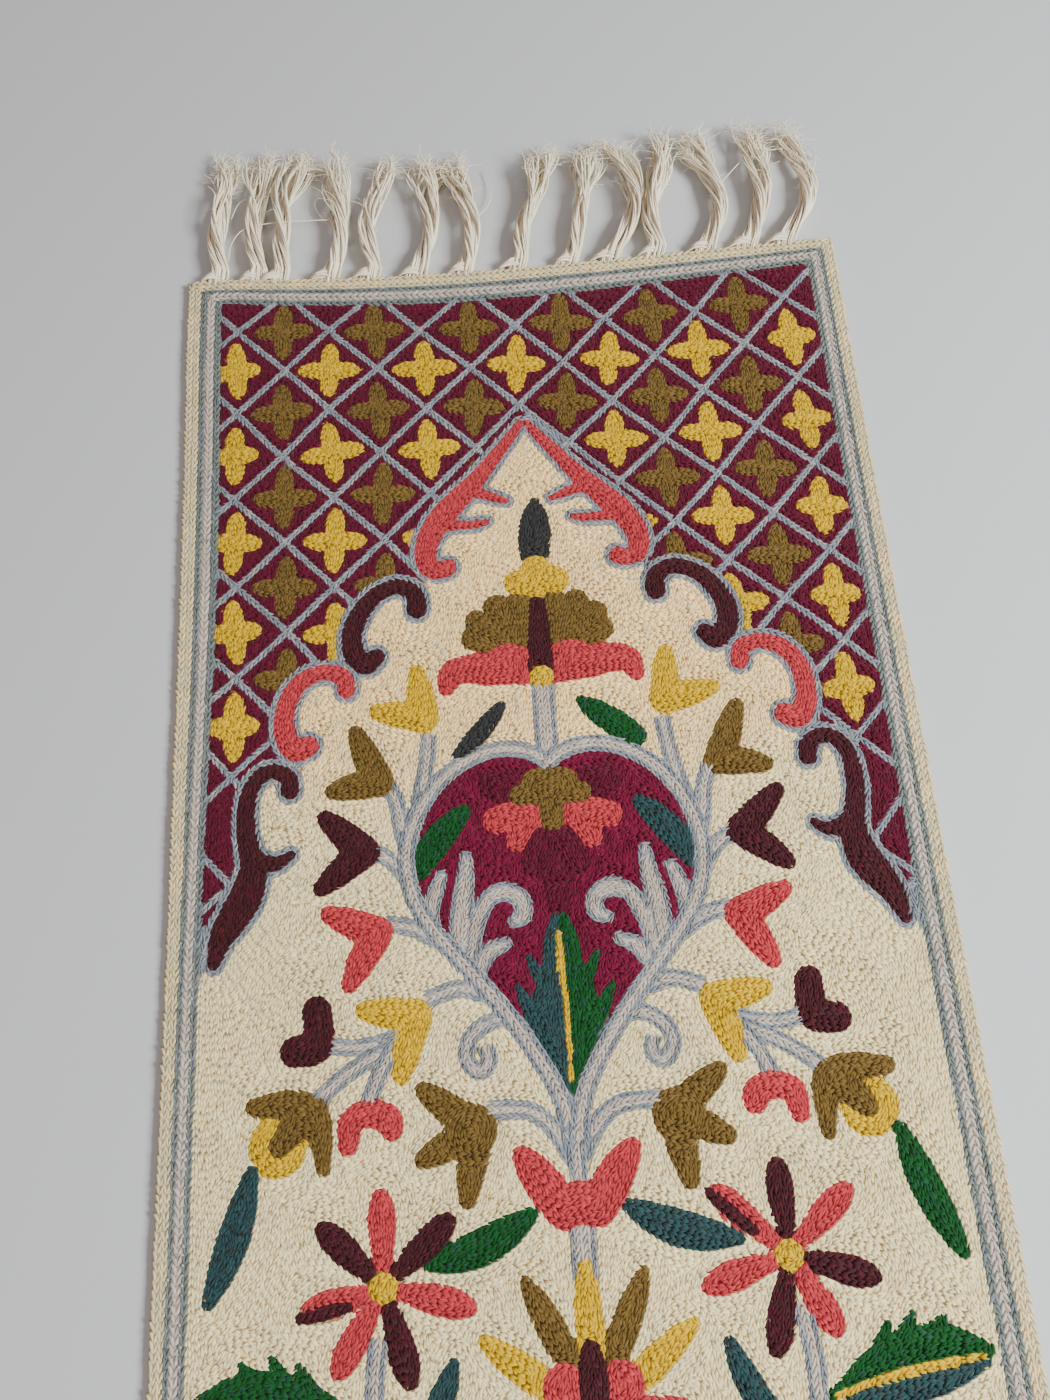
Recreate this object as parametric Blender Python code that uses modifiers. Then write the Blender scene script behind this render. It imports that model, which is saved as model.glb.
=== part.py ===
"""Chain stitch rug: one flat embroidered panel with a row of knotted cotton tassels at each end.

Metres, +Z up. The origin is the middle of the panel's underside and +Y points to the arched end.
"""

import math
from collections import namedtuple

import bmesh
import bpy
from mathutils import Vector

MM = 0.001

# The panel: cotton canvas with wool chain stitch all over, its hem turned under
PANEL_THICKNESS = 3.0 * MM
RIM_ROUND = 1.1 * MM
RIM_ANGLE = math.radians(60)
CORNER_ROUND = 4.0 * MM
EDGE_STEPS = 16
CORNER_STEPS = 3

# Its four sides run anticlockwise, each from its start corner, and bow inwards by dip at peak
Side = namedtuple("Side", "start_x start_y dip peak")
SIDES = (
    Side(start_x=-149.0 * MM, start_y=300.0 * MM, dip=2.2 * MM, peak=0.37),
    Side(start_x=-149.5 * MM, start_y=-300.0 * MM, dip=2.5 * MM, peak=0.55),
    Side(start_x=150.0 * MM, start_y=-299.0 * MM, dip=0.8 * MM, peak=0.60),
    Side(start_x=147.5 * MM, start_y=300.5 * MM, dip=5.5 * MM, peak=0.60),
)

# Tassels: root is measured from the panel's left corner, the rest sideways from the root
Tassel = namedtuple("Tassel", "root lean bulge curl length spread")
TASSELS = (
    Tassel(root=16 * MM, lean=3 * MM, bulge=-3 * MM, curl=-1.0 * MM, length=64 * MM, spread=6.5 * MM),
    Tassel(root=33 * MM, lean=6 * MM, bulge=-5 * MM, curl=0.0 * MM, length=65 * MM, spread=5.5 * MM),
    Tassel(root=44 * MM, lean=9 * MM, bulge=-4 * MM, curl=0.5 * MM, length=64 * MM, spread=5.5 * MM),
    Tassel(root=67 * MM, lean=3 * MM, bulge=3 * MM, curl=1.0 * MM, length=61 * MM, spread=6.0 * MM),
    Tassel(root=86 * MM, lean=10 * MM, bulge=-6 * MM, curl=-0.5 * MM, length=61 * MM, spread=6.0 * MM),
    Tassel(root=107 * MM, lean=4 * MM, bulge=4 * MM, curl=1.0 * MM, length=60 * MM, spread=6.0 * MM),
    Tassel(root=129 * MM, lean=-3 * MM, bulge=3 * MM, curl=1.0 * MM, length=60 * MM, spread=7.0 * MM),
    Tassel(root=153 * MM, lean=16 * MM, bulge=-1 * MM, curl=-1.0 * MM, length=62 * MM, spread=6.0 * MM),
    Tassel(root=177 * MM, lean=12 * MM, bulge=1 * MM, curl=0.0 * MM, length=61 * MM, spread=6.0 * MM),
    Tassel(root=196 * MM, lean=7 * MM, bulge=9 * MM, curl=1.0 * MM, length=58 * MM, spread=6.0 * MM),
    Tassel(root=216 * MM, lean=9 * MM, bulge=-2 * MM, curl=-2.0 * MM, length=62 * MM, spread=5.0 * MM),
    Tassel(root=240 * MM, lean=-3 * MM, bulge=8 * MM, curl=1.5 * MM, length=59 * MM, spread=5.0 * MM),
    Tassel(root=260 * MM, lean=7 * MM, bulge=4 * MM, curl=1.0 * MM, length=61 * MM, spread=6.0 * MM),
    Tassel(root=277 * MM, lean=6 * MM, bulge=9 * MM, curl=2.0 * MM, length=59 * MM, spread=6.5 * MM),
)
LOWER_EASE = 0.85
TASSEL_GAP = 0.4 * MM

# The knot at each tassel's root, and the strands that leave it as a loosely turned bundle
KNOT_HALF_WIDTH = 3.7 * MM
KNOT_HALF_DEPTH = 3.6 * MM
KNOT_HALF_HEIGHT = 2.5 * MM
KNOT_SEGMENTS = 8
KNOT_RINGS = 5
STRANDS = 6
STRAND_RADIUS = 0.75 * MM
STRAND_SIDES = 3
STRAND_STEPS = 8
BUNDLE_HALF_WIDTH = 2.4 * MM
BUNDLE_HALF_HEIGHT = 1.55 * MM
TIP_HALF_HEIGHT = 0.5 * MM
TWIST = math.pi
TWIST_END = 0.62
FAN_START = 0.55
TIP_PHASE = math.radians(15)
TIP_STAGGER = 0.018
TANGENT_STEP = 0.02
SMOOTH_ANGLE = math.radians(50)
WELD_DISTANCE = 0.01 * MM

COTTON_COLOUR = (0.80, 0.76, 0.68, 1.0)
WOOL_COLOUR = (0.72, 0.65, 0.50, 1.0)


def clear_scene():
    for obj in list(bpy.data.objects):
        bpy.data.objects.remove(obj, do_unlink=True)


def make_material(name, colour, roughness):
    material = bpy.data.materials.new(name)
    material.use_nodes = True
    shader = material.node_tree.nodes["Principled BSDF"]
    shader.inputs["Base Color"].default_value = colour
    shader.inputs["Roughness"].default_value = roughness
    shader.inputs["Metallic"].default_value = 0.0
    return material


def make_collection(name, rendered):
    collection = bpy.data.collections.new(name)
    collection.hide_render = not rendered
    bpy.context.scene.collection.children.link(collection)
    return collection


def mesh_of(obj):
    """The object's evaluated shape as a mesh of its own."""
    bpy.context.view_layer.update()
    evaluated = obj.evaluated_get(bpy.context.evaluated_depsgraph_get())
    return bpy.data.meshes.new_from_object(evaluated)


def weld_caps(mesh):
    """Joins a bevelled curve's loose end caps to its walls, with every face pointing out."""
    work = bmesh.new()
    work.from_mesh(mesh)
    bmesh.ops.remove_doubles(work, verts=work.verts, dist=WELD_DISTANCE)
    bmesh.ops.recalc_face_normals(work, faces=work.faces)
    if work.calc_volume(signed=True) < 0:
        bmesh.ops.reverse_faces(work, faces=work.faces)
    work.to_mesh(mesh)
    work.free()


def ease(low, high, value):
    """Rises smoothly from 0 at low to 1 at high."""
    part = min(max((value - low) / (high - low), 0.0), 1.0)
    return part * part * (3 - 2 * part)


def side_point(index, along):
    """A point on one side of the panel, along running from 0 to 1, pulled in by the side's bow."""
    side = SIDES[index]
    ahead = SIDES[(index + 1) % len(SIDES)]
    start = Vector((side.start_x, side.start_y))
    end = Vector((ahead.start_x, ahead.start_y))
    inward = Vector((start.y - end.y, end.x - start.x)).normalized()
    skew = math.log(0.5) / math.log(side.peak)
    bow = side.dip * math.sin(math.pi * along**skew)
    return start.lerp(end, along) + inward * bow


def end_edge_y(x, index):
    """The y of the panel's end edge at x, found along the side of that index."""
    side = SIDES[index]
    ahead = SIDES[(index + 1) % len(SIDES)]
    along = (x - side.start_x) / (ahead.start_x - side.start_x)
    return side_point(index, along).y


def panel_outline():
    points = []
    for index in range(len(SIDES)):
        length = (side_point(index, 1.0) - side_point(index, 0.0)).length
        margin = CORNER_ROUND / length
        corner = side_point(index, 0.0)
        before = side_point(index - 1, 1.0 - CORNER_ROUND / length)
        after = side_point(index, margin)
        for step in range(CORNER_STEPS):
            part = step / CORNER_STEPS
            points.append(before.lerp(corner, part).lerp(corner.lerp(after, part), part))
        for step in range(EDGE_STEPS + 1):
            points.append(side_point(index, margin + (1 - 2 * margin) * step / EDGE_STEPS))
    return points


def make_panel(collection, material):
    outline = panel_outline()
    curve = bpy.data.curves.new("rug_outline", "CURVE")
    curve.dimensions = "2D"
    curve.fill_mode = "BOTH"
    curve.extrude = PANEL_THICKNESS / 2
    spline = curve.splines.new("POLY")
    spline.points.add(len(outline) - 1)
    for point, place in zip(spline.points, outline):
        point.co = (place.x, place.y, 0.0, 1.0)
    spline.use_cyclic_u = True
    flat = bpy.data.objects.new("rug_outline", curve)
    collection.objects.link(flat)
    mesh = mesh_of(flat)
    bpy.data.objects.remove(flat, do_unlink=True)
    weld_caps(mesh)
    mesh.materials.append(material)
    panel = bpy.data.objects.new("rug_panel", mesh)
    panel.location.z = PANEL_THICKNESS / 2
    rim = panel.modifiers.new("rim", "BEVEL")
    rim.width = RIM_ROUND
    rim.segments = 2
    rim.limit_method = "ANGLE"
    rim.angle_limit = RIM_ANGLE
    collection.objects.link(panel)


def bundle_middle(tassel, part):
    """The middle line of a tassel's bundle in plan, from the knot at 0 to the tips at 1."""
    sideways = tassel.lean * part
    sideways += tassel.bulge * math.sin(math.pi * part)
    sideways += tassel.curl * math.sin(2 * math.pi * part)
    return Vector((sideways, tassel.length * part, 0.0))


def strand_point(tassel, strand, part):
    """Where a strand runs: it turns about the bundle's middle, then settles into a flat fan."""
    middle = bundle_middle(tassel, part)
    ahead = bundle_middle(tassel, part + TANGENT_STEP) - middle
    across = Vector((ahead.y, -ahead.x, 0.0)).normalized()
    opening = ease(FAN_START, 1.0, part)
    half_width = BUNDLE_HALF_WIDTH + (tassel.spread - BUNDLE_HALF_WIDTH) * opening
    half_height = BUNDLE_HALF_HEIGHT + (TIP_HALF_HEIGHT - BUNDLE_HALF_HEIGHT) * opening
    angle = TIP_PHASE + 2 * math.pi * strand / STRANDS
    angle += TWIST * max(0.0, 1.0 - part / TWIST_END)
    place = middle + across * (half_width * math.cos(angle))
    place.z = STRAND_RADIUS + half_height * (1.0 + math.sin(angle))
    return place


def make_profile(collection):
    """The strands' cross-section, a guide that isn't part of the rug."""
    curve = bpy.data.curves.new("strand_profile", "CURVE")
    curve.dimensions = "2D"
    spline = curve.splines.new("POLY")
    spline.points.add(STRAND_SIDES - 1)
    for index, point in enumerate(spline.points):
        angle = 2 * math.pi * index / STRAND_SIDES
        point.co = (STRAND_RADIUS * math.cos(angle), STRAND_RADIUS * math.sin(angle), 0.0, 1.0)
    spline.use_cyclic_u = True
    profile = bpy.data.objects.new("strand_profile", curve)
    profile.hide_render = True
    profile.display_type = "WIRE"
    collection.objects.link(profile)
    return profile


def make_strands(name, tassel, profile, collection):
    curve = bpy.data.curves.new(name, "CURVE")
    curve.dimensions = "3D"
    curve.bevel_mode = "OBJECT"
    curve.bevel_object = profile
    curve.use_fill_caps = True
    for strand in range(STRANDS):
        reach = 1.0 - TIP_STAGGER * ((strand * 2) % STRANDS)
        spline = curve.splines.new("POLY")
        spline.points.add(STRAND_STEPS)
        for step, point in enumerate(spline.points):
            place = strand_point(tassel, strand, reach * step / STRAND_STEPS)
            point.co = (place.x, place.y, place.z, 1.0)
    tubes = bpy.data.objects.new(name, curve)
    collection.objects.link(tubes)
    mesh = mesh_of(tubes)
    weld_caps(mesh)
    strands = bpy.data.objects.new(name + "_strands", mesh)
    strands.hide_render = True
    strands.display_type = "WIRE"
    collection.objects.link(strands)
    bpy.data.objects.remove(tubes, do_unlink=True)
    return strands


def make_knot(name, collection):
    mesh = bpy.data.meshes.new(name)
    work = bmesh.new()
    bmesh.ops.create_uvsphere(work, u_segments=KNOT_SEGMENTS, v_segments=KNOT_RINGS, radius=1.0)
    bmesh.ops.scale(work, vec=(KNOT_HALF_WIDTH, KNOT_HALF_DEPTH, KNOT_HALF_HEIGHT), verts=work.verts)
    bmesh.ops.translate(work, vec=(0.0, 0.0, KNOT_HALF_HEIGHT), verts=work.verts)
    work.to_mesh(mesh)
    work.free()
    knot = bpy.data.objects.new(name, mesh)
    collection.objects.link(knot)
    return knot


def make_tassel(name, tassel, place, turn, collection, guides, profile, material):
    """One knot with its strands joined to it, standing just clear of the panel's edge."""
    knot = make_knot(name, collection)
    strands = make_strands(name + "_curves", tassel, profile, guides)
    union = knot.modifiers.new("root", "BOOLEAN")
    union.operation = "UNION"
    union.solver = "EXACT"
    union.object = strands
    joined = mesh_of(knot)
    bpy.data.objects.remove(knot, do_unlink=True)
    bpy.data.objects.remove(strands, do_unlink=True)
    joined.materials.clear()
    joined.materials.append(material)
    joined.shade_smooth()
    joined.set_sharp_from_angle(angle=SMOOTH_ANGLE)
    obj = bpy.data.objects.new(name, joined)
    obj.location = place
    obj.rotation_euler.z = turn
    collection.objects.link(obj)


def eased(tassel, share):
    """The same tassel lying a little straighter and shorter."""
    return tassel._replace(
        lean=tassel.lean * share,
        bulge=tassel.bulge * share,
        length=tassel.length * (1 + share) / 2,
    )


def make_fringes(collection, guides, material):
    profile = make_profile(guides)
    left = SIDES[0].start_x
    stand_off = KNOT_HALF_DEPTH + TASSEL_GAP
    for number, tassel in enumerate(TASSELS, start=1):
        x = left + tassel.root
        top = (x, end_edge_y(x, 3) + stand_off, 0.0)
        make_tassel(f"fringe_top_{number:02d}", tassel, top, 0.0, collection, guides, profile, material)
        lower = eased(tassel, LOWER_EASE)
        low = (-x, end_edge_y(-x, 1) - stand_off, 0.0)
        name = f"fringe_bottom_{number:02d}"
        make_tassel(name, lower, low, math.pi, collection, guides, profile, material)


def main():
    clear_scene()
    rug = make_collection("chain_stitch_rug", True)
    guides = make_collection("guides", False)
    wool = make_material("chain_stitch_wool", WOOL_COLOUR, 0.95)
    cotton = make_material("fringe_cotton", COTTON_COLOUR, 0.9)
    make_panel(rug, wool)
    make_fringes(rug, guides, cotton)


main()
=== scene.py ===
"""Chain stitch rug: wool rows worked on cotton cloth, with a cotton fringe at both ends."""

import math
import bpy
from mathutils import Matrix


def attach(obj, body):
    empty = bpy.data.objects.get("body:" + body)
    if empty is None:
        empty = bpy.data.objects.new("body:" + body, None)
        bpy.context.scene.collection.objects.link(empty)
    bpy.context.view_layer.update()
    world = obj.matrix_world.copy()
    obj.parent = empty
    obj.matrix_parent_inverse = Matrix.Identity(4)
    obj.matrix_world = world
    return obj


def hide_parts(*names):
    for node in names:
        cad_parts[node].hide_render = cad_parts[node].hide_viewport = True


bl_info = {
    "name": "Chain stitch rug",
    "version": (1, 0, 0),
    "blender": (4, 5, 0),
    "location": "3D Viewport > Sidebar > Rug",
    "description": "Makes the stitched rows, the cloth and the fringe of a chain stitch rug",
    "category": "Add Mesh",
}

from collections import namedtuple

import bpy
import numpy as np
from mathutils import Matrix, Vector

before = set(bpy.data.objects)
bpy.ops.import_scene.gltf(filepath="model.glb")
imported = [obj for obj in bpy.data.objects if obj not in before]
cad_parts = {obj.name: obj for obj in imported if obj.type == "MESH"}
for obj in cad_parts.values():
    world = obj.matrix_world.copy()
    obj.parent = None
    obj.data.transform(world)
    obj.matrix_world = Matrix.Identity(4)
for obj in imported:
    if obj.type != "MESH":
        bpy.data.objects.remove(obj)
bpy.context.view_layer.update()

MM = 0.001
ROUND = 2 * math.pi
PANEL = "rug_panel"
RUG_WIDTH, RUG_LENGTH = 300.0, 600.0
LEFT, RIGHT = -1, 1
SIDES, MIDDLE = (LEFT, RIGHT), (RIGHT,)

# ---------------------------------------------------------------------------
# Sizes and colours
# ---------------------------------------------------------------------------


def linear(*channels):
    """A colour given as 0 to 255, in the linear values that Blender works in."""
    parts = [c / 255 for c in channels]
    return tuple(p / 12.92 if p <= 0.04045 else ((p + 0.055) / 1.055) ** 2.4 for p in parts)


def length_property(name, description, millimetres):
    return bpy.props.FloatProperty(
        name=name, description=description, default=millimetres * MM, min=0.0, unit="LENGTH")


def yarn_property(name, description, *channels):
    return bpy.props.FloatVectorProperty(
        name=name, description=description, default=linear(*channels), min=0.0, max=1.0, size=3, subtype="COLOR")


class RugSizes(bpy.types.PropertyGroup):
    row_width: length_property("Row width", "Distance from one row of chain stitch to the next", 1.95)
    link_length: length_property("Link length", "Length of cloth that one link of the chain covers", 2.65)
    stitch_height: length_property("Stitch height", "How far the yarn of a link stands above the cloth", 1.35)
    cloth_top: length_property("Cloth thickness", "Thickness of the cotton cloth under the stitches", 2.3)
    thread_width: length_property("Fringe thread", "Thickness of one thread of the fringe", 0.80)
    threads: bpy.props.IntProperty(
        name="Threads in a tassel", description="How many threads each tassel gathers", default=60, min=6, max=72)
    seed: bpy.props.IntProperty(
        name="Unevenness seed", description="Fixes the hand-made unevenness of stitches and threads", default=7)


class RugColours(bpy.types.PropertyGroup):
    cream: yarn_property("Cream", "Wool of the field", 250, 214, 153)
    straw: yarn_property("Straw", "Wool of the field's second dye lot", 236, 218, 168)
    ivory: yarn_property("Ivory", "Wool of the outer border rows", 208, 194, 155)
    maroon: yarn_property("Maroon", "Wool behind the lattice", 87, 15, 38)
    crimson: yarn_property("Crimson", "Wool inside the heart", 107, 14, 48)
    yellow: yarn_property("Yellow", "Wool of the bright flowers", 204, 164, 18)
    olive: yarn_property("Olive brown", "Wool of the dull flowers", 106, 82, 37)
    coral: yarn_property("Coral", "Wool of the red petals", 179, 56, 62)
    aubergine: yarn_property("Aubergine", "Wool of the dark petals", 63, 23, 28)
    green: yarn_property("Green", "Wool of the bright leaves", 13, 71, 27)
    teal: yarn_property("Teal", "Wool of the dark leaves", 38, 66, 68)
    charcoal: yarn_property("Charcoal", "Wool of the bud", 48, 47, 47)
    mist: yarn_property("Grey blue", "Wool of the lines and vines", 127, 134, 142)
    slate: yarn_property("Slate", "Wool of the border's darker rows", 109, 116, 113)
    blush: yarn_property("Blush", "Wool of the pale rows", 188, 174, 162)
    cotton: yarn_property("Cotton", "Unbleached cotton of the cloth and fringe", 251, 237, 210)
    floor: yarn_property("Floor", "Paint of the plain floor", 195, 196, 198)


# ---------------------------------------------------------------------------
# The rug's outline and the design's own coordinates: u to the right of the middle line and v down
# from the arched end, both in millimetres
# ---------------------------------------------------------------------------

DESIGN_TOP = 297.0      # how far the design's top lies from the rug's middle
CORNER_REACH = 6.0      # how far from a corner an edge is read
EDGE_STATION = 12.0     # distance from one point of an edge to the next
EDGE_DEPTH = 8.0        # how far an edge may bow
SETTLE_ROUNDS = 4       # rounds that find a place between two curved edges
# the border's width: at the arched end, how it changes down the side, and from where to where
SIDE_BANDS = {"left": (15.5, -3.5, 120, 330), "right": (12.6, 0.8, 150, 350)}
END_BANDS = {"top": (12.0, 4.0), "bottom": (12.5, 2.0)}     # at the corners, and how much more in the middle
INWARD = {"left": 1, "right": -1, "top": 1, "bottom": -1}


def edge_line(along, across, sign):
    """The outermost points on one side of the panel, as two sorted lists for np.interp."""
    inner = (along > along.min() + CORNER_REACH) & (along < along.max() - CORNER_REACH)
    inner &= across * sign > (across * sign).max() - EDGE_DEPTH
    along, across = along[inner], across[inner]
    station = np.round(along / EDGE_STATION).astype(int)
    picked = []
    for number in np.unique(station):
        here = np.nonzero(station == number)[0]
        best = here[np.argmax(across[here] * sign)]
        picked.append((along[best], across[best]))
    return np.array(sorted(picked)).T


def read_outline(node):
    """The panel's four edges, each as the place of its outermost points."""
    points = np.array([vertex.co[:] for vertex in node.data.vertices]) / MM
    u, v = points[:, 0], DESIGN_TOP - points[:, 1]
    return {
        "left": edge_line(v, u, -1), "right": edge_line(v, u, 1),
        "top": edge_line(u, v, -1), "bottom": edge_line(u, v, 1),
    }


OUTLINE = read_outline(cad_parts[PANEL])


def edge(side, along):
    return np.interp(along, *OUTLINE[side])


def ease(low, high, value):
    part = np.clip((value - low) / (high - low), 0.0, 1.0)
    return part * part * (3 - 2 * part)


def band(side, along):
    """How wide the striped border is on that side."""
    if side in SIDE_BANDS:
        width, change, start, end = SIDE_BANDS[side]
        return width + change * ease(start, end, along)
    width, more = END_BANDS[side]
    return width + more * np.cos(np.pi * np.asarray(along) / RUG_WIDTH)


def border_at(side, along, share):
    """The place across from along, where the border has that share of its width behind it."""
    return edge(side, along) + INWARD[side] * share * band(side, along)


def cloth_point(s, t):
    """Where the share s across and t along the cloth lies, as (u, v)."""
    u, v = RUG_WIDTH * (s - 0.5), RUG_LENGTH * t
    for _ in range(SETTLE_ROUNDS):
        v = edge("top", u) + (edge("bottom", u) - edge("top", u)) * t
        u = edge("left", v) + (edge("right", v) - edge("left", v)) * s
    return u, v


def cloth_rise(u, v):
    """The cloth's gentle unevenness, in millimetres."""
    return 0.10 * np.sin(u / 23 + 0.7) * np.sin(v / 31 + 1.1) + 0.08 * np.sin(u / 11 + v / 17)


# ---------------------------------------------------------------------------
# Motifs. A stroke is (distance from the middle line, v, width) points and is worked as one shape.
# ---------------------------------------------------------------------------

# a shape has one yarn for each side that it is on, and a stem one for each of its rows
Motif = namedtuple("Motif", "kind sides yarns strokes row_width", defaults=(0,))
LINE_ROWS, STEM_ROW, THIN_ROW = ("mist", "blush", "mist"), 2.15, 2.0
TRUNK_ROWS, TRUNK_ROW = ("mist", "blush", "blush", "mist"), 2.1
# widths at shares of a stroke's length
PETAL_SHARES = ((0, 0.94), (0.35, 1.0), (0.68, 0.82))
TULIP_PETAL = ((0.06, 12.5), (0.3, 11.6), (0.6, 9.8), (0.87, 6.4))
DAISY_PETAL = ((0.05, 5.2), (0.3, 7.9), (0.58, 9.8), (0.76, 9.2), (0.9, 6.2))
LEAF_SHARES = (0.04, 0.25, 0.5, 0.75, 0.96)
TULIP_CUP, DAISY_EYE, PETAL_POINT = 12.5, 10, 4.2
DAISY_HUB = 0.12        # share of a petal's length that its eye covers


def both(yarn, *strokes):
    return Motif("shape", SIDES, (yarn, yarn), strokes)


def pair(left, right, *strokes):
    return Motif("shape", SIDES, (left, right), strokes)


def middle(yarn, *strokes):
    return Motif("shape", MIDDLE, (yarn,), strokes)


def stem(*line, row_width=STEM_ROW, sides=SIDES):
    return Motif("rows", sides, LINE_ROWS, (line,), row_width)


def thin(*line):
    return stem(*line, row_width=THIN_ROW)


def trunk(*line):
    return Motif("rows", MIDDLE, TRUNK_ROWS, (line,), TRUNK_ROW)


def disc(a, v, width):
    return (a, v, width), (a + 0.01, v, width)


def taper(base, tip, widths):
    """A stroke from base to tip, with each width at its share of the length."""
    (a0, v0), (a1, v1) = base, tip
    return tuple((a0 + (a1 - a0) * t, v0 + (v1 - v0) * t, width) for t, width in widths)


def petal(base, tip, width):
    """A stroke that is widest near its middle and ends in a blunt point."""
    reach = 1 - PETAL_POINT / 2 / math.dist(base, tip)
    return taper(base, tip, [(t, width * share) for t, share in PETAL_SHARES] + [(reach, PETAL_POINT)])


def leaf(stalk, tip, width, bend=0.0, point=3.2):
    """A long stroke, pointed at both ends, that bows to one side."""
    (a0, v0), (a1, v1) = stalk, tip
    across = np.array([v0 - v1, a1 - a0]) / math.dist(stalk, tip)
    points = []
    for t in LEAF_SHARES:
        bow = math.sin(math.pi * t)
        side = across * bend * bow
        points.append((a0 + (a1 - a0) * t + side[0], v0 + (v1 - v0) * t + side[1],
                       point + (width - point) * bow ** 0.8))
    return tuple(points)


def tulip(yarn, base, *tips):
    """A full cup with two or three pointed petals."""
    return both(yarn, disc(*base, TULIP_CUP), *(taper(base, tip, TULIP_PETAL) for tip in tips))


def daisy(side, centre, petals):
    """Petals as (across, down, yarn and at times the yarn of its lower half) from the middle of the flower."""
    made = []
    u, v = centre[0] * side, centre[1]
    for across, down, yarn, *under in petals:
        base, tip = (u + DAISY_HUB * across, v + DAISY_HUB * down), (u + across, v + down)
        made.append(middle(yarn, taper(base, tip, DAISY_PETAL)))
        if under:       # a narrow leaf along the petal's lower side
            slip = 0.92 if across < 0 else -0.92
            made.append(middle(*under, leaf((base[0] + 0.3 * across, base[1] + 0.3 * down + 2.3),
                                            (tip[0] - slip, tip[1] + 1.6), 4.6, point=3.4)))
    made.append(middle("yellow", disc(u, v, DAISY_EYE)))
    return made


ARCH_POINT, ARCH_FOOT = (0, 80), (134, 295)
SPANDREL_REACH, SPANDREL_TOP = 160, -10
# the scrolls of the niche from its point down: the yarn and strokes of each
SCROLLS = (
    ("coral", (((1.5, 83, 3.5), (7, 90.5, 4.7), (14.8, 100.3, 6.2), (23, 110.5, 7.8), (32.5, 120.3, 10),
                (40.7, 130, 10.5), (45.2, 140, 9.2), (44.3, 147.5, 8.5), (40, 150.3, 7), (36, 149, 7.5)),
               ((27, 115, 6.5), (20, 116.5, 4.5), (14, 118.5, 3.8), (9.5, 120, 2.2)),
               ((38, 129.5, 6), (30, 130.5, 4.2), (24, 130.5, 3.8), (18.5, 129.3, 2.5)))),
    ("aubergine", (((49.5, 166, 8), (50.3, 159.5, 7.3), (57.5, 155.5, 6.8), (66.3, 158.3, 6.8), (73.3, 166, 7.8),
                    (76.8, 175, 8.2), (75.8, 183.5, 8.8), (71, 188.3, 8.8), (66.8, 185.5, 7)),)),
    ("coral", (((79, 199, 7), (80.7, 193.3, 7), (88, 191, 6.5), (96, 193.5, 7), (102, 200.5, 7.5),
                (104.3, 209.5, 8), (103.6, 218, 8.5), (99.8, 223.7, 9), (94.5, 222.3, 8.5)),)),
    ("aubergine", (((101.5, 240, 7), (102.5, 235, 6.5), (108.5, 232, 6), (114.5, 234.5, 6), (118.3, 242, 6.5),
                    (118.8, 253, 7), (117.3, 262, 8), (115.5, 270, 10), (117.5, 279, 12.5), (122, 286.5, 12),
                    (126.8, 294, 9), (129.5, 303, 4.5)),
                   ((115, 266, 7), (107, 268.5, 5.5), (100.5, 265.5, 3)))),
)
OUTLINE_WIDTH = 2.2
SPRAY_OUTLINE = 1.75

VINE = (
    (0, 234.8), (4, 231.8), (10, 229), (18, 227.8), (26, 229), (35, 233.6), (43.5, 241), (50.3, 251), (54.6, 262),
    (55.8, 273), (53.4, 285.5), (47.3, 297), (39.3, 307.5), (30.8, 318), (22, 329), (13.5, 341), (6.2, 353),
    (2.2, 365), (0.6, 380))
ACANTHUS = (
    ((46, 300, 5.5), (47.5, 291, 6.5), (45.5, 283, 6.5), (43, 277, 5)),
    ((38, 308, 7), (37, 293, 8.5), (34.5, 280, 7.5), (33.5, 270, 5)),
    ((34.5, 308, 6), (31, 295, 7), (26.5, 287, 7), (20.5, 284, 7.5), (14.5, 287, 7.5), (13.5, 293, 7),
     (17.5, 295.5, 5)),
    ((33, 315, 6), (28, 307, 7), (21, 303.5, 5)),
)
CALYX_LOBE = ((5.5, 394.5, 13), (10, 389, 13.5), (15.5, 381.5, 11.5), (19.8, 376.5, 7))
CENTRE_LEAF = (
    ((1.2, 294, 3), (3, 302, 6.5), (4, 313, 8), (6, 326, 12.5), (5, 338, 10.5), (2.2, 351, 5), (1.0, 356, 3)),
    ((5, 321, 7), (9.5, 315, 5), (12.8, 308.5, 2.6)), ((8, 334, 9), (13.5, 327, 6), (17.3, 320, 2.8)),
)


def heart_motifs():
    """What lies inside the heart, from the lowest layer to the highest."""
    return [
        both("maroon", disc(17, 243.5, 15), disc(22, 241.5, 12)),
        middle("maroon", ((0, 274, 12), (0, 290, 9))),
        middle("maroon", ((0, 257, 13), (0, 266, 20), (0, 271, 22))),
        both("maroon", ((5, 266, 11), (8.5, 274, 9.5))),
        both("coral", ((7, 255.5, 10), (14, 255, 12), (21.5, 256, 10.5)), ((11, 257, 11), (14.5, 265, 8))),
        middle("olive", ((-6, 242, 9.5), (0, 241, 10), (6, 242, 9.5)), ((-12, 247, 8), (0, 246, 11), (12, 247, 8)),
               ((0, 248, 10), (0, 257.5, 9))),
        pair("green", "teal", ((33.5, 252, 6), (39, 257.5, 10), (46, 266, 11), (51.5, 275, 7))),
        Motif("sprays", SIDES, ("blush",), ACANTHUS),
        pair("teal", "green", *CENTRE_LEAF),
        middle("yellow", ((-1, 301, 2.6), (-0.6, 314, 2.8), (0, 330, 2.2), (0, 353, 1.8))),
    ]


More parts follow.
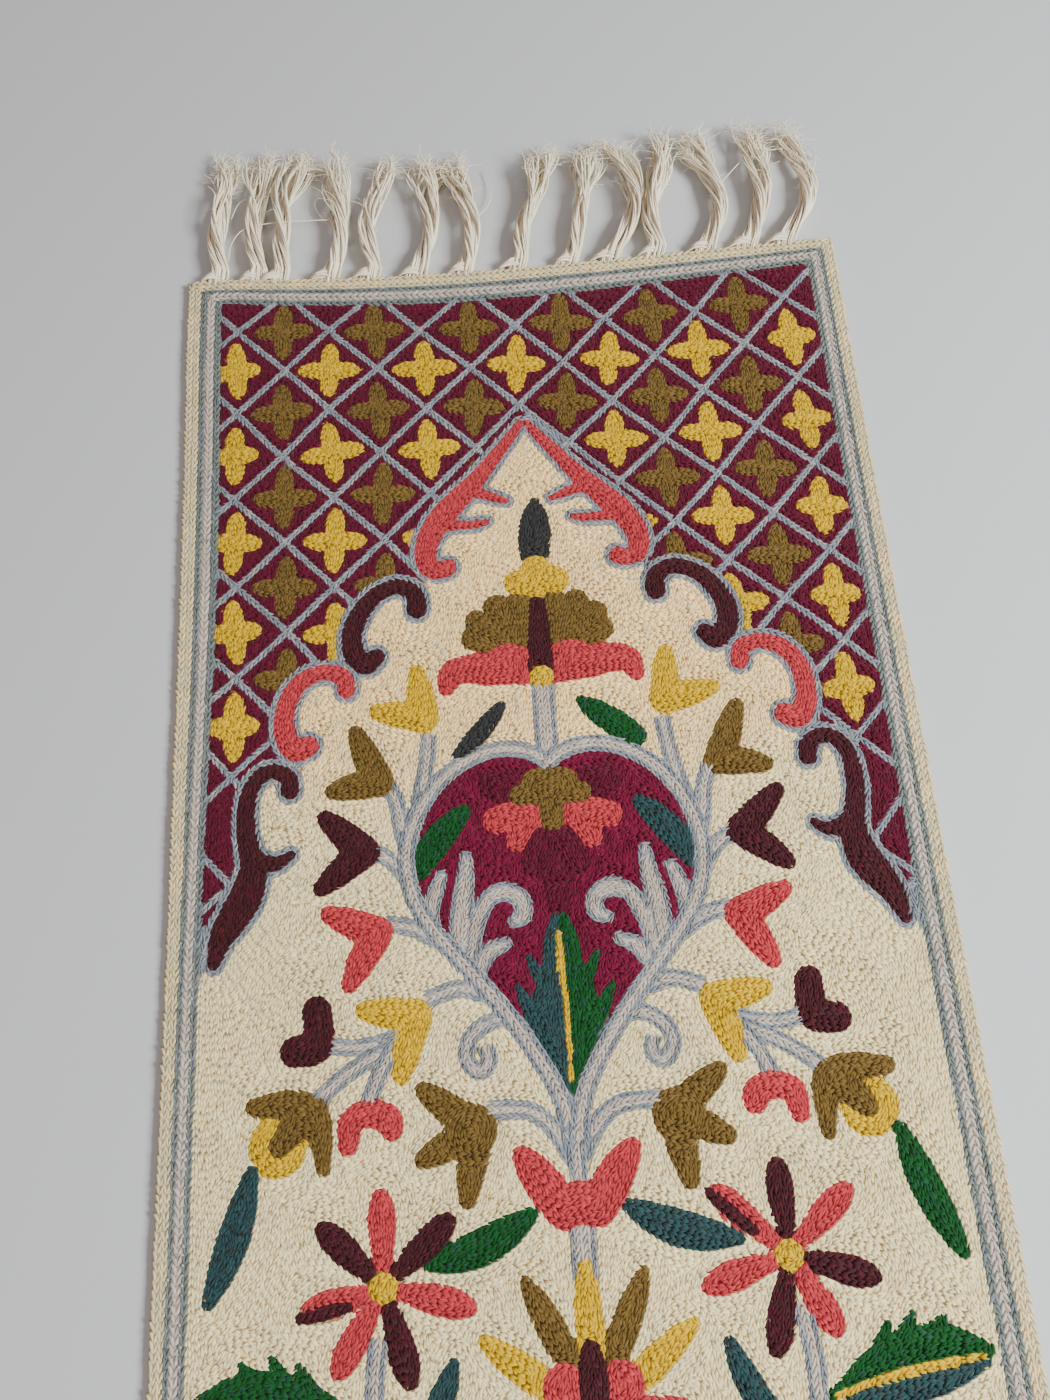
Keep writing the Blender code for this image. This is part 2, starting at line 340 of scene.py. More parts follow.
def motifs():
    """Every shape on the cream field, from the lowest layer to the highest."""
    return [
        both("mist", ((134.4, 290, 2.2), (134.2, 298, 3.2), (135.2, 306, 2.8), (136, 311, 1.4))),
        stem((54, 264), (50.5, 248), (47.5, 236), (45.5, 220)),
        stem((54, 276), (57, 260), (59, 247), (63, 238)),
        stem((49, 293), (55, 280), (61, 271), (68, 266)),
        stem((38, 307), (48, 300), (55, 296), (64, 294)),
        stem((23, 325), (32, 321), (40, 319), (51, 322)),
        stem((1, 380), (7, 369), (16, 362), (31, 361)),
        thin((19, 331), (28, 331), (36, 336), (38, 343), (34, 348), (30, 345), (31, 340)),
        thin((62, 334), (72, 336), (80, 336), (88, 334)),
        thin((62, 336), (73, 341), (82, 346), (91, 353)),
        thin((63, 337), (69, 346), (73, 355)),
        Motif("heart", MIDDLE, ("crimson",), ()),
        trunk((0, 203), (0, 218), (0, 231)),
        *heart_motifs(),
        stem(*VINE, row_width=2.25),
        # the palmette
        *(both("olive", ((4, 188, 7), (0.45 * a + 2, 188 + 0.45 * (v - 188), 8), (a, v, width)))
          for a, v, width in ((26.3, 181, 10), (24.2, 173.7, 10.5), (16.3, 168.3, 11.5), (7.0, 166.6, 11))),
        both("coral", ((5, 196, 13), (12, 193, 17.5), (20, 194.3, 14), (28, 193.3, 12.5), (35, 194.8, 11),
                       (37.8, 200.8, 6.5))),
        middle("aubergine", ((0.5, 165, 6), (0.3, 178, 8.7), (0, 195, 10.3))),
        middle("charcoal", ((2.3, 121, 4), (2, 128, 10.5), (1.2, 136, 13.8), (0.8, 145, 12.5))),
        middle("yellow", disc(0.5, 152.5, 13), disc(-7.5, 158, 11), disc(8.5, 157.5, 12), disc(0, 158.5, 13)),
        middle("yellow", disc(0, 199.5, 10)),
        middle("charcoal", leaf((-35, 229), (-16, 209), 8, bend=1.0)),
        middle("green", ((15, 210.5, 4.5), (20, 214.5, 9), (28, 220.5, 11), (35.3, 226.3, 8))),
        # tulips up the vine
        tulip("yellow", (47.5, 212.5), (50.3, 190), (69.5, 208.5)),
        tulip("olive", (66.3, 238), (76.5, 214.5), (87, 242)),
        tulip("aubergine", (72, 266), (89.5, 250), (91, 281)),
        tulip("coral", (68, 297), (88.5, 287.5), (80, 317)),
        tulip("yellow", (55.5, 327.5), (76.5, 323.5), (62.3, 350)),
        tulip("olive", (36, 366.5), (56.5, 350.5), (57.5, 376), (40.5, 392)),
        both("olive", disc(38, 367, 19)),
        # the side sprays
        both("aubergine", ((90.5, 322.5, 10.5), (90.5, 334, 12), (98.5, 336, 11))),
        both("coral", ((80.8, 368, 7.5), (79.3, 361, 9.5), (73.5, 358.5, 9.5), (67, 360.5, 10), (65.5, 364, 8.5))),
        both("yellow", disc(105, 367, 21)),
        both("olive", ((113, 353.5, 6.5), (102, 353.5, 10), (93, 357, 12), (90, 366, 8.5), (89.5, 375.5, 5)),
             ((98, 360, 12), (104.5, 367, 7.5))),
        pair("teal", "green", leaf((113.5, 373), (129.5, 418), 11.5, bend=1.5)),
        pair("green", "teal", leaf((15.5, 394), (55.5, 408), 12, bend=2.5)),
        # the calyx below the heart
        trunk((0, 398), (0, 406), (0, 416)),
        stem((0, 374), (0, 381), (0, 390), sides=MIDDLE),
        middle("coral", disc(0, 392.5, 14), *(
            tuple((side * a, v, width) for a, v, width in CALYX_LOBE) for side in SIDES)),
        # daisies
        stem((72, 430), (73.5, 450), (70, 475), (56, 505), (34, 532), (14, 552), (4, 566)),
        *daisy(LEFT, (70, 414), (
            (0, -31, "coral"), (25, -21, "aubergine"), (32, 8, "coral"), (9.5, 31, "aubergine"),
            (-17, 27, "coral"), (-28, 7, "coral", "aubergine"), (-22, -21, "aubergine"))),
        *daisy(RIGHT, (70, 414), (
            (0, -31, "aubergine"), (24, -21, "coral"), (29, 9, "aubergine"), (13, 25, "coral"),
            (-9, 30, "aubergine"), (-30, 8, "coral"), (-24, -23, "coral", "aubergine"))),
        # the bottom flower
        trunk((0, 470), (0, 505), (0, 540), (0, 566)),
        stem((57, 504), (70, 505), (84, 500), (96, 497)),
        stem((24, 542), (44, 546), (66, 540), (82, 535)),
        thin((1, 514), (10, 506), (20, 501), (31, 499)),
        both("olive", ((0, 462, 10), (7, 471, 10), (13, 482, 5))),
        both("coral", ((6, 460, 14), (16, 459, 15), (28, 456.5, 9))),
        both("olive", petal((7, 441), (21.5, 413.5), 10)),
        both("yellow", petal((12, 449), (37.5, 430.5), 10)),
        middle("yellow", petal((0, 440), (0, 409.5), 10)),
        both("coral", disc(9.5, 448, 15)),
        middle("aubergine", ((0, 438, 7), (0, 446, 10), (0, 457, 9))),
        both("teal", ((84, 458, 4), (98, 457, 8), (114, 454, 9), (130, 450, 4))),
        both("green", ((78, 456, 4), (92, 449, 10), (106, 445, 14), (118, 444.5, 13), (131, 446, 5)),
             ((94, 447, 8), (99, 437, 3)), ((102, 444, 8), (108, 434.5, 3)), ((111, 443, 8), (118, 436, 3))),
        both("yellow", ((79, 456, 2), (98, 452, 3), (116, 449.5, 3), (130, 448, 2))),
        both("teal", leaf((46, 437), (64, 469), 9.5, bend=2)),
        # the foot of the tree
        tulip("coral", (98.5, 496), (119, 481), (120, 508)),
        tulip("yellow", (84.5, 534), (103, 518), (107, 543.5)),
        tulip("aubergine", (32.5, 498), (43, 481), (52.5, 505)),
        both("green", leaf((8, 566), (64, 566), 11, bend=-8)),
        both("teal", leaf((10, 577), (88, 573), 9, bend=3)),
        pair("green", "teal", leaf((92, 573), (126, 545), 9.5, bend=3)),
        pair("teal", "green", leaf((20, 527), (34, 511), 7, bend=1)),
        both("charcoal", leaf((62, 519), (84, 518), 7, bend=-1.5)),
        both("olive", leaf((44, 556), (66, 551), 7, bend=-1)),
        middle("olive", disc(0, 562, 20)),
        both("coral", disc(11, 570, 17)),
        middle("aubergine", disc(0, 573, 17)),
        middle("yellow", disc(0, 562, 7)),
    ]


# ---------------------------------------------------------------------------
# The design: which patch and yarn covers each spot, worked out on a fine grid
# ---------------------------------------------------------------------------

CELL = 0.5              # side of a cell of the grid, in millimetres
HAND_SWAY = 0.9         # how far a drawn line strays
SWAY_FROM, SWAY_FULL = 4, 30            # distance from the middle line where it begins to, and does so fully
ROW_OVERLAP = 1.1       # how much wider than its row a named row's patch is
U_FIRST, U_LAST = -152.0, 152.0
V_FIRST, V_LAST = -6.0, 600.0
BORDER_ROWS = (("ivory", 0.19), ("ivory", 0.19), ("slate", 0.17), ("blush", 0.25), ("slate", 0.20))
BORDER_WIDTH = 14.5
LOOP_ACROSS, LOOP_ALONG = 60, 120       # points of a border row's loop on a short and on a long side
LOWER_EDGE = 595        # where the lower corners are first sought
NODE_U, NODE_V, NODE_PITCH = -124.4, 32.2, 41.1
NODE_BOW = 4.5          # how far the lattice sags towards the rug's sides
NODE_STRAY = 0.45
LATTICE_ROW = 2.55
LATTICE_COLUMNS, LATTICE_HALF_ROWS = 8, 10
LATTICE_STARTS, LATTICE_HALF_STEPS = range(-8, 16), range(-2, 15)
FLOWER_REACH, LATTICE_REACH = 128, 150  # how far from the middle flowers and nodes still lie
ROW_SHARES = {"blush": 1.24, "mist": 0.88}      # how wide each wool's row is where several lie side by side
EDGE_FLOWER = 115.0     # flowers beyond this are narrowed to stay clear of the border
UPRIGHT_PETAL, LYING_PETAL, SHORT_PETAL = 14.2, 13.2, 10.2
PETAL_SWING, PETAL_SPREAD = 0.05, (0.93, 1.05)
PETAL_WIDTHS = ((0.05, 7.2), (0.3, 7.8), (0.55, 8.2), (0.78, 5.8), (0.93, 2.8))

Row = namedtuple("Row", "points width yarn patch closed")


def curve(points, steps=6):
    """A smooth line through the points, with as many numbers each as they have."""
    points = np.asarray(points, float)
    if len(points) == 2:
        part = np.linspace(0, 1, steps + 1)[:, None]
        return points[0] * (1 - part) + points[1] * part
    ends = np.vstack([2 * points[0] - points[1], points, 2 * points[-1] - points[-2]])
    t = (np.arange(steps) / steps)[:, None]
    pieces = []
    for a, b, c, d in zip(ends[:-3], ends[1:-2], ends[2:-1], ends[3:]):
        pieces.append(0.5 * (2 * b + (c - a) * t + (2 * a - 5 * b + 4 * c - d) * t ** 2
                             + (3 * b - a - 3 * c + d) * t ** 3))
    return np.vstack(pieces + [points[-1:]])


def sided(points, side):
    """The points on one side of the middle line, swayed a little as a design drawn by hand is."""
    points = np.array(points, float)
    points[:, 0] *= side
    u, v = points[:, 0].copy(), points[:, 1].copy()
    sway = HAND_SWAY * ease(SWAY_FROM, SWAY_FULL, np.abs(u))
    points[:, 0] += sway * np.sin(u / 31 + v / 43 + 0.6)
    points[:, 1] += sway * np.sin(u / 39 - v / 35 + 2.1)
    return points


class Design:
    """The patch that covers each cell of a fine grid, each patch's yarn, and the rows worked by themselves."""

    def __init__(self, seed):
        self.random = np.random.default_rng(seed)
        self.u = np.arange(U_FIRST, U_LAST, CELL)
        self.v = np.arange(V_FIRST, V_LAST, CELL)
        self.uu, self.vv = np.meshgrid(self.u, self.v)
        self.patch = np.zeros(self.uu.shape, np.int32)
        self.yarns = ["ivory"]
        self.single = [True]
        self.rows = []

    def new_patch(self, yarn, single=False):
        """single patches are worked in rows of their own, and not filled from their edges."""
        self.yarns.append(yarn)
        self.single.append(single)
        return len(self.yarns) - 1

    def stroke(self, line, patch, only, grow=0.0):
        """Lays a tapering stroke, segment by segment."""
        for (u0, v0, w0), (u1, v1, w1) in zip(line[:-1], line[1:]):
            r0, r1 = w0 / 2 + grow, w1 / 2 + grow
            reach = max(r0, r1)
            first_c = max(0, int((min(u0, u1) - reach - U_FIRST) / CELL))
            first_r = max(0, int((min(v0, v1) - reach - V_FIRST) / CELL))
            last_c = int((max(u0, u1) + reach - U_FIRST) / CELL) + 2
            last_r = int((max(v0, v1) + reach - V_FIRST) / CELL) + 2
            where = np.s_[first_r:max(first_r, last_r), first_c:max(first_c, last_c)]
            uu, vv = self.uu[where], self.vv[where]
            du, dv = u1 - u0, v1 - v0
            t = np.clip(((uu - u0) * du + (vv - v0) * dv) / (du * du + dv * dv + 1e-9), 0, 1)
            inside = np.hypot(uu - u0 - t * du, vv - v0 - t * dv) < r0 + (r1 - r0) * t
            self.patch[where][inside & only[where]] = patch

    def shape(self, strokes, yarn, side, only, grow=0.0, patch=None):
        """Strokes that make up one patch."""
        patch = patch or self.new_patch(yarn)
        for points in strokes:
            self.stroke(curve(sided(points, side)), patch, only, grow)

    def line_rows(self, line, yarns, row_width, only, side=RIGHT):
        """Rows side by side along a line, each its own yarn."""
        path = curve(sided(line, side))
        step = np.gradient(path, axis=0)
        across = np.column_stack([-step[:, 1], step[:, 0]]) / np.hypot(*step.T)[:, None]
        shares = np.array([ROW_SHARES.get(yarn, 1.0) if len(yarns) > 1 else 1.0 for yarn in yarns]) * row_width
        offsets = np.cumsum(shares) - shares / 2 - shares.sum() / 2
        for yarn, share, offset in zip(yarns, shares, offsets):
            centre = path + across * offset
            patch = self.new_patch(yarn, single=True)
            widths = np.full((len(centre), 1), share * ROW_OVERLAP)
            self.stroke(np.hstack([centre, widths]), patch, only)
            self.rows.append(Row(centre, share, yarn, patch, False))

    def outline_rows(self, outline, width):
        """One row in the outline patch, all round what was laid after it."""
        away = nearest_edges((self.patch > outline).astype(int))[0]
        away[self.patch > outline] = 0
        for line in contours(away, width / 2):
            line = smoothed(line[:-1], True) * CELL + (U_FIRST, V_FIRST)
            self.rows.append(Row(line, width, "mist", outline, True))

    def polygon(self, corners):
        """The mask of the cells inside those corners."""
        inside = np.zeros(self.uu.shape, bool)
        corners = list(corners)
        for (u0, v0), (u1, v1) in zip(corners, corners[1:] + corners[:1]):
            if v0 != v1:
                crosses = (self.vv >= min(v0, v1)) & (self.vv < max(v0, v1))
                inside ^= crosses & (self.uu < u0 + (self.vv - v0) * (u1 - u0) / (v1 - v0))
        return inside

    def border(self):
        """The striped border, and the mask of what lies inside it."""
        share = np.minimum.reduce([
            (self.uu - edge("left", self.v)[:, None]) / band("left", self.v)[:, None],
            (edge("right", self.v)[:, None] - self.uu) / band("right", self.v)[:, None],
            (self.vv - edge("top", self.u)[None, :]) / band("top", self.u)[None, :],
            (edge("bottom", self.u)[None, :] - self.vv) / band("bottom", self.u)[None, :]])
        start = 0.0
        for yarn, part in BORDER_ROWS:
            patch = self.new_patch(yarn, single=True)
            self.patch[(share > start) & (share <= 1)] = patch
            loop = border_loop(start + part / 2)
            self.rows.append(Row(loop, part * BORDER_WIDTH, yarn, patch, True))
            start += part
        return share > 1

    def trellis(self, only):
        """Four-petalled flowers in a lattice of single rows."""
        for half in range(LATTICE_HALF_ROWS):
            dull = half % 2 == 0
            for number in range(LATTICE_COLUMNS):
                u, v = lattice_node(number + 0.5 * dull, half / 2)
                if abs(u) < FLOWER_REACH:
                    self.quatrefoil(u, v, "olive" if dull else "yellow", only)
        for slant in (1, -1):
            for start in LATTICE_STARTS:
                nodes = [lattice_node(start + slant * half / 2, half / 2) for half in LATTICE_HALF_STEPS]
                nodes = [node + self.random.normal(0, NODE_STRAY, 2) for node in nodes
                         if abs(node[0]) < LATTICE_REACH]
                if len(nodes) > 1:
                    self.line_rows(nodes, ("mist",), LATTICE_ROW, only)

    def quatrefoil(self, u, v, yarn, only):
        """Four pointed petals; the upright ones are the longer."""
        patch = self.new_patch(yarn)
        turn = self.random.normal(0, PETAL_SWING)
        for quarter in range(4):
            angle = turn + quarter * math.pi / 2
            reach = UPRIGHT_PETAL if quarter % 2 else LYING_PETAL if abs(u) < EDGE_FLOWER else SHORT_PETAL
            reach *= self.random.uniform(*PETAL_SPREAD)
            across, down = math.cos(angle) * reach, math.sin(angle) * reach
            self.shape((tuple((u + across * t, v + down * t, width) for t, width in PETAL_WIDTHS),),
                       yarn, RIGHT, only, patch=patch)

    def outlined(self, shapes, outer, inner, width, only):
        """Shapes on both sides, grown by inner, on an outline grown by outer with a row of that width round it."""
        outline = self.new_patch("mist", single=True)
        for grow in (outer, inner):
            for yarn, strokes in shapes:
                for side in SIDES:
                    self.shape(strokes, yarn, side, only, grow, outline if grow == outer else None)
        self.outline_rows(outline, width)

    def motif(self, motif, ground):
        """Lays one motif on the ground, on each of its sides."""
        if motif.kind == "heart":
            loop = [(-a, v) for a, v in VINE[:-1]] + [(a, v) for a, v in VINE[-2::-1]]
            self.patch[self.polygon(loop)] = self.new_patch(*motif.yarns)
        elif motif.kind == "sprays":
            self.outlined([(*motif.yarns, motif.strokes)], 0, -SPRAY_OUTLINE, SPRAY_OUTLINE, ground)
        elif motif.kind == "rows":
            for side in motif.sides:
                self.line_rows(motif.strokes[0], motif.yarns, motif.row_width, ground, side)
        else:
            for side, yarn in zip(motif.sides, motif.yarns):
                self.shape(motif.strokes, yarn, side, ground)


def border_loop(share):
    """The closed line that runs round the border at that share of its width."""
    def corner(across, along):
        v = LOWER_EDGE if along == "bottom" else 0
        for _ in range(SETTLE_ROUNDS):
            u = border_at(across, v, share)
            v = border_at(along, u, share)
        return u, v

    (ua, va), (ub, vb) = corner("left", "top"), corner("right", "top")
    (uc, vc), (ud, vd) = corner("right", "bottom"), corner("left", "bottom")
    loop = []
    for side, first, last in (("top", ua, ub), ("right", vb, vc), ("bottom", uc, ud), ("left", vd, va)):
        along = np.linspace(first, last, LOOP_ACROSS if side in END_BANDS else LOOP_ALONG)
        across = border_at(side, along, share)
        loop.append(np.column_stack([along, across] if side in END_BANDS else [across, along]))
    return np.vstack([line[:-1] for line in loop[:-1]] + loop[-1:])


def lattice_node(a, b):
    """Where the lattice's lines cross, counted in columns and rows."""
    u = NODE_U + NODE_PITCH * a
    return np.array([u, NODE_V + NODE_PITCH * b - NODE_BOW * (u / NODE_U) ** 2])


def draw_design(seed):
    """Lays every patch, from the border and the ground up to the flowers."""
    design = Design(seed)
    ground = design.border()
    design.patch[ground] = design.new_patch("cream")
    spine = [ARCH_POINT, *(point[:2] for _, strokes in SCROLLS for point in strokes[0][1:-1]), ARCH_FOOT,
             (SPANDREL_REACH, ARCH_FOOT[1]), (SPANDREL_REACH, SPANDREL_TOP), (0, SPANDREL_TOP)]
    spandrel = np.zeros(ground.shape, bool)
    for side in SIDES:
        spandrel |= design.polygon((side * a, v) for a, v in spine)
    spandrel &= ground
    design.patch[spandrel] = design.new_patch("maroon")
    design.trellis(spandrel)
    design.outlined(SCROLLS, OUTLINE_WIDTH, 0, OUTLINE_WIDTH, ground)
    for motif in motifs():
        design.motif(motif, ground)
    return design


# ---------------------------------------------------------------------------
# Rows: where each link of the chain goes
# ---------------------------------------------------------------------------

FIRST_ROW = 0.92        # from a patch's edge to the middle of its first row, in millimetres
ROW_WANDER = 0.24       # how far a row strays from its line, in millimetres
JUMPS = (64, 32, 16, 8, 4, 2, 1)        # in cells
SMOOTH_ROUNDS = 3
WANDER_GRAIN = 9        # cells from one stray of a row to the next
WANDER_FROM, WANDER_FULL = 0.8, 4.0     # distance from a patch's edge where rows begin to stray, and do so fully
CLOSED_GAP = 1.5        # a contour whose ends are nearer than this, in cells, is a loop
FEWEST_POINTS = 4
LOOK_AHEAD = 0.6        # a line's direction is taken over this distance before and behind
GAP_DEPTH, ROW_GAP_DEPTH = 0.5, 0.75    # how deep a gap has to be to take a link, in a patch and in named rows
GAP_SHUFFLE = 0.4
GAP_WIDTH = 2.6         # width of a link in a gap, for the gap's depth
# share of a link's own room that another link may not enter: in named rows, in a patch and in its gaps
ROW_CLOSE, PATCH_CLOSE, GAP_CLOSE = 0.72, 0.76, 0.70
LOOP_STRETCH = 1.15     # links of the border and outlines are longer
ROW_LOOSE = 0.4         # how much of its unevenness a link keeps in a named row
EDGE_LOOSE = 0.3        # and at the edge of its patch

Link = namedtuple("Link", "u v du dv gauge loose yarn")      # loose: 1 well inside a patch, 0 at its edge


def nearest_edges(patch):
    """For each cell, the place of the nearest change of patch, in cells, by jump flooding."""
    rows, cols = patch.shape
    far = -9999.0
    place_r = np.full((rows, cols), far, np.float32)
    place_c = np.full((rows, cols), far, np.float32)
    r, c = np.nonzero(patch[:, 1:] != patch[:, :-1])
    for shift in (0, 1):
        place_r[r, c + shift], place_c[r, c + shift] = r, c + 0.5
    r, c = np.nonzero(patch[1:] != patch[:-1])
    for shift in (0, 1):
        place_r[r + shift, c], place_c[r + shift, c] = r + 0.5, c
    grid_r, grid_c = np.indices((rows, cols), dtype=np.float32)
    away = (grid_r - place_r) ** 2 + (grid_c - place_c) ** 2
    for jump in JUMPS:
        for dr in (-jump, 0, jump):
            for dc in (-jump, 0, jump):
                if dr == 0 and dc == 0:
                    continue
                to = np.s_[max(0, -dr):rows - max(0, dr), max(0, -dc):cols - max(0, dc)]
                come = np.s_[max(0, dr):rows - max(0, -dr), max(0, dc):cols - max(0, -dc)]
                new_r, new_c = place_r[come], place_c[come]
                trial = (grid_r[to] - new_r) ** 2 + (grid_c[to] - new_c) ** 2
                better = trial < away[to]
                away[to][better] = trial[better]
                place_r[to][better] = new_r[better]
                place_c[to][better] = new_c[better]
    return np.sqrt(away) * CELL, place_r, place_c


def soft_noise(random, shape, grain):
    """Smooth unevenness from -1 to 1, with one random value every grain cells."""
    coarse = random.uniform(-1, 1, (shape[0] // grain + 3, shape[1] // grain + 3))
    r, c = np.arange(shape[0]) / grain, np.arange(shape[1]) / grain
    r0, c0 = r.astype(int), c.astype(int)
    fr, fc = ease(0, 1, r - r0)[:, None], ease(0, 1, c - c0)[None, :]
    top = coarse[r0][:, c0] * (1 - fc) + coarse[r0][:, c0 + 1] * fc
    low = coarse[r0 + 1][:, c0] * (1 - fc) + coarse[r0 + 1][:, c0 + 1] * fc
    return top * (1 - fr) + low * fr


# which two sides of a grid square a contour joins, for each pattern of its corners above the level
# corners: 1 top left, 2 top right, 4 bottom right, 8 bottom left; sides: top, right, bottom, left
JOINS = {
    1: ((3, 0),), 2: ((0, 1),), 3: ((3, 1),), 4: ((1, 2),), 5: ((3, 0), (1, 2)), 6: ((0, 2),), 7: ((3, 2),),
    8: ((2, 3),), 9: ((2, 0),), 10: ((0, 1), (2, 3)), 11: ((2, 1),), 12: ((1, 3),), 13: ((1, 0),), 14: ((0, 3),),
}


def contours(field, level):
    """Lines along which the field has that level, as (column, row) points."""
    rows, cols = field.shape
    above = field > level
    kind = above[:-1, :-1] * 1 + above[:-1, 1:] * 2 + above[1:, 1:] * 4 + above[1:, :-1] * 8
    lying = rows * cols

    def side_number(side, r, c):
        return {0: r * cols + c, 1: lying + r * cols + c + 1, 2: (r + 1) * cols + c, 3: lying + r * cols + c}[side]

    starts, ends = [], []
    for number, joins in JOINS.items():
        r, c = np.nonzero(kind == number)
        for first, second in joins:
            starts.append(side_number(first, r, c))
            ends.append(side_number(second, r, c))
    starts, ends = np.concatenate(starts), np.concatenate(ends)
    follow = dict(zip(starts.tolist(), ends.tolist()))
    reached = set(ends.tolist())
    lines = []
    for begin in [n for n in follow if n not in reached] + list(follow):
        if begin not in follow:
            continue
        line = [begin]
        while line[-1] in follow:
            line.append(follow.pop(line[-1]))
        lines.append(np.array(line))
    placed = []
    for line in lines:
        upright = line >= lying
        flat = np.where(upright, line - lying, line)
        r, c = flat // cols, flat % cols
        r2, c2 = r + upright, c + ~upright
        a, b = field[r, c], field[r2, c2]
        t = (level - a) / (b - a)
        placed.append(np.column_stack([c + (c2 - c) * t, r + (r2 - r) * t]))
    return placed


def smoothed(line, closed):
    """The line with its small steps evened out."""
    for _ in range(SMOOTH_ROUNDS):
        if closed:
            line = (np.roll(line, 1, 0) + 2 * line + np.roll(line, -1, 0)) / 4
        elif len(line) > 2:
            line = np.vstack([line[:1], (line[:-2] + 2 * line[1:-1] + line[2:]) / 4, line[-1:]])
    return line


def stations(line, closed, pitch):
    """Evenly spaced points along a line and the line's direction at each."""
    if closed:
        line = np.vstack([line, line[:1]])
    run = np.concatenate([[0.0], np.cumsum(np.hypot(*np.diff(line, axis=0).T))])
    count = max(1, round(run[-1] / pitch))
    at = (np.arange(count) + 0.5) * run[-1] / count

    def place(distance):
        distance = np.clip(distance, 0, run[-1])
        return np.column_stack([np.interp(distance, run, line[:, k]) for k in (0, 1)])

    point, way = place(at), place(at + LOOK_AHEAD) - place(at - LOOK_AHEAD)
    size = np.hypot(*way.T)
    keep = size > 1e-6
    return point[keep], way[keep] / size[keep, None]


class Field:
    """Links laid so far, and whether another one still has room."""

    def __init__(self, row_width, link_length):
        self.row, self.link = row_width, link_length
        self.links = []
        self.squares = {}

    def free(self, u, v, du, dv, closeness, width):
        square_u, square_v = int(u // self.link), int(v // self.link)
        limit = closeness * closeness
        for a in (square_u - 1, square_u, square_u + 1):
            for b in (square_v - 1, square_v, square_v + 1):
                for number in self.squares.get((a, b), ()):
                    other = self.links[number]
                    across_u, across_v = other.u - u, other.v - v
                    along = (across_u * du + across_v * dv) / self.link
                    aside = (across_v * du - across_u * dv) / (0.5 * (width + other.gauge * self.row))
                    if along * along + aside * aside < limit:
                        return False
        return True

    def lay(self, u, v, du, dv, gauge, loose, yarn):
        key = (int(u // self.link), int(v // self.link))
        self.squares.setdefault(key, []).append(len(self.links))
        self.links.append(Link(u, v, du, dv, gauge, loose, yarn))


def lay_links(design, row_width, link_length):
    """Every link of the rug: named rows first, then rows that follow each patch's edge inwards, then the gaps."""
    field = Field(row_width, link_length)
    rows, cols = design.patch.shape

    def patch_at(u, v):
        r, c = int(round((v - V_FIRST) / CELL)), int(round((u - U_FIRST) / CELL))
        return design.patch[r, c] if 0 <= r < rows and 0 <= c < cols else -1

    for row in reversed(design.rows):
        line = row.points[:-1] if row.closed else row.points
        pitch = link_length * (LOOP_STRETCH if row.closed else 1.0)
        for (u, v), (du, dv) in zip(*stations(line, row.closed, pitch)):
            if patch_at(u, v) == row.patch and field.free(u, v, du, dv, ROW_CLOSE, row.width):
                field.lay(u, v, du, dv, row.width / row_width, ROW_LOOSE, row.yarn)

    away, place_r, place_c = nearest_edges(design.patch)
    single = np.array(design.single)[design.patch]
    wander = soft_noise(design.random, away.shape, WANDER_GRAIN) * ROW_WANDER
    wavy = away + wander * ease(WANDER_FROM, WANDER_FULL, away)
    wavy[single] = 0
    level = FIRST_ROW
    while level < away.max():
        for line in contours(wavy, level):
            closed = bool(np.hypot(*(line[0] - line[-1])) < CLOSED_GAP)
            line = smoothed(line[:-1] if closed else line, closed)
            line = np.column_stack([U_FIRST + line[:, 0] * CELL, V_FIRST + line[:, 1] * CELL])
            if len(line) < FEWEST_POINTS:
                continue
            for (u, v), (du, dv) in zip(*stations(line, closed, link_length)):
                patch = patch_at(u, v)
                if patch >= 0 and not design.single[patch] and field.free(u, v, du, dv, PATCH_CLOSE, row_width):
                    loose = EDGE_LOOSE if level < 2 * FIRST_ROW else 1.0
                    field.lay(u, v, du, dv, 1.0, loose, design.yarns[patch])
        level += row_width

    # gaps between the innermost rows, deepest first
    gap_r, gap_c = np.nonzero((design.patch > 0) & (away > np.where(single, ROW_GAP_DEPTH, GAP_DEPTH)))
    order = np.argsort(-away[gap_r, gap_c] + design.random.uniform(0, GAP_SHUFFLE, len(gap_r)), kind="stable")
    for r, c in zip(gap_r[order].tolist(), gap_c[order].tolist()):
        du, dv = place_r[r, c] - r, c - place_c[r, c]
        size = math.hypot(du, dv)
        if size < 1e-6:
            continue
        u, v = design.u[c], design.v[r]
        width = min(row_width, GAP_WIDTH * away[r, c])
        if field.free(u, v, du / size, dv / size, GAP_CLOSE, width):
            yarn = design.yarns[design.patch[r, c]]
            field.lay(u, v, du / size, dv / size, width / row_width, EDGE_LOOSE, yarn)
    return field.links


# ---------------------------------------------------------------------------
# Node trees
# ---------------------------------------------------------------------------


def socket_named(sockets, key):
    """A socket by identifier, or else by name."""
    if isinstance(key, int):
        return sockets[key]
    for socket in sockets:
        if socket.identifier == key:
            return socket
    return sockets[key]


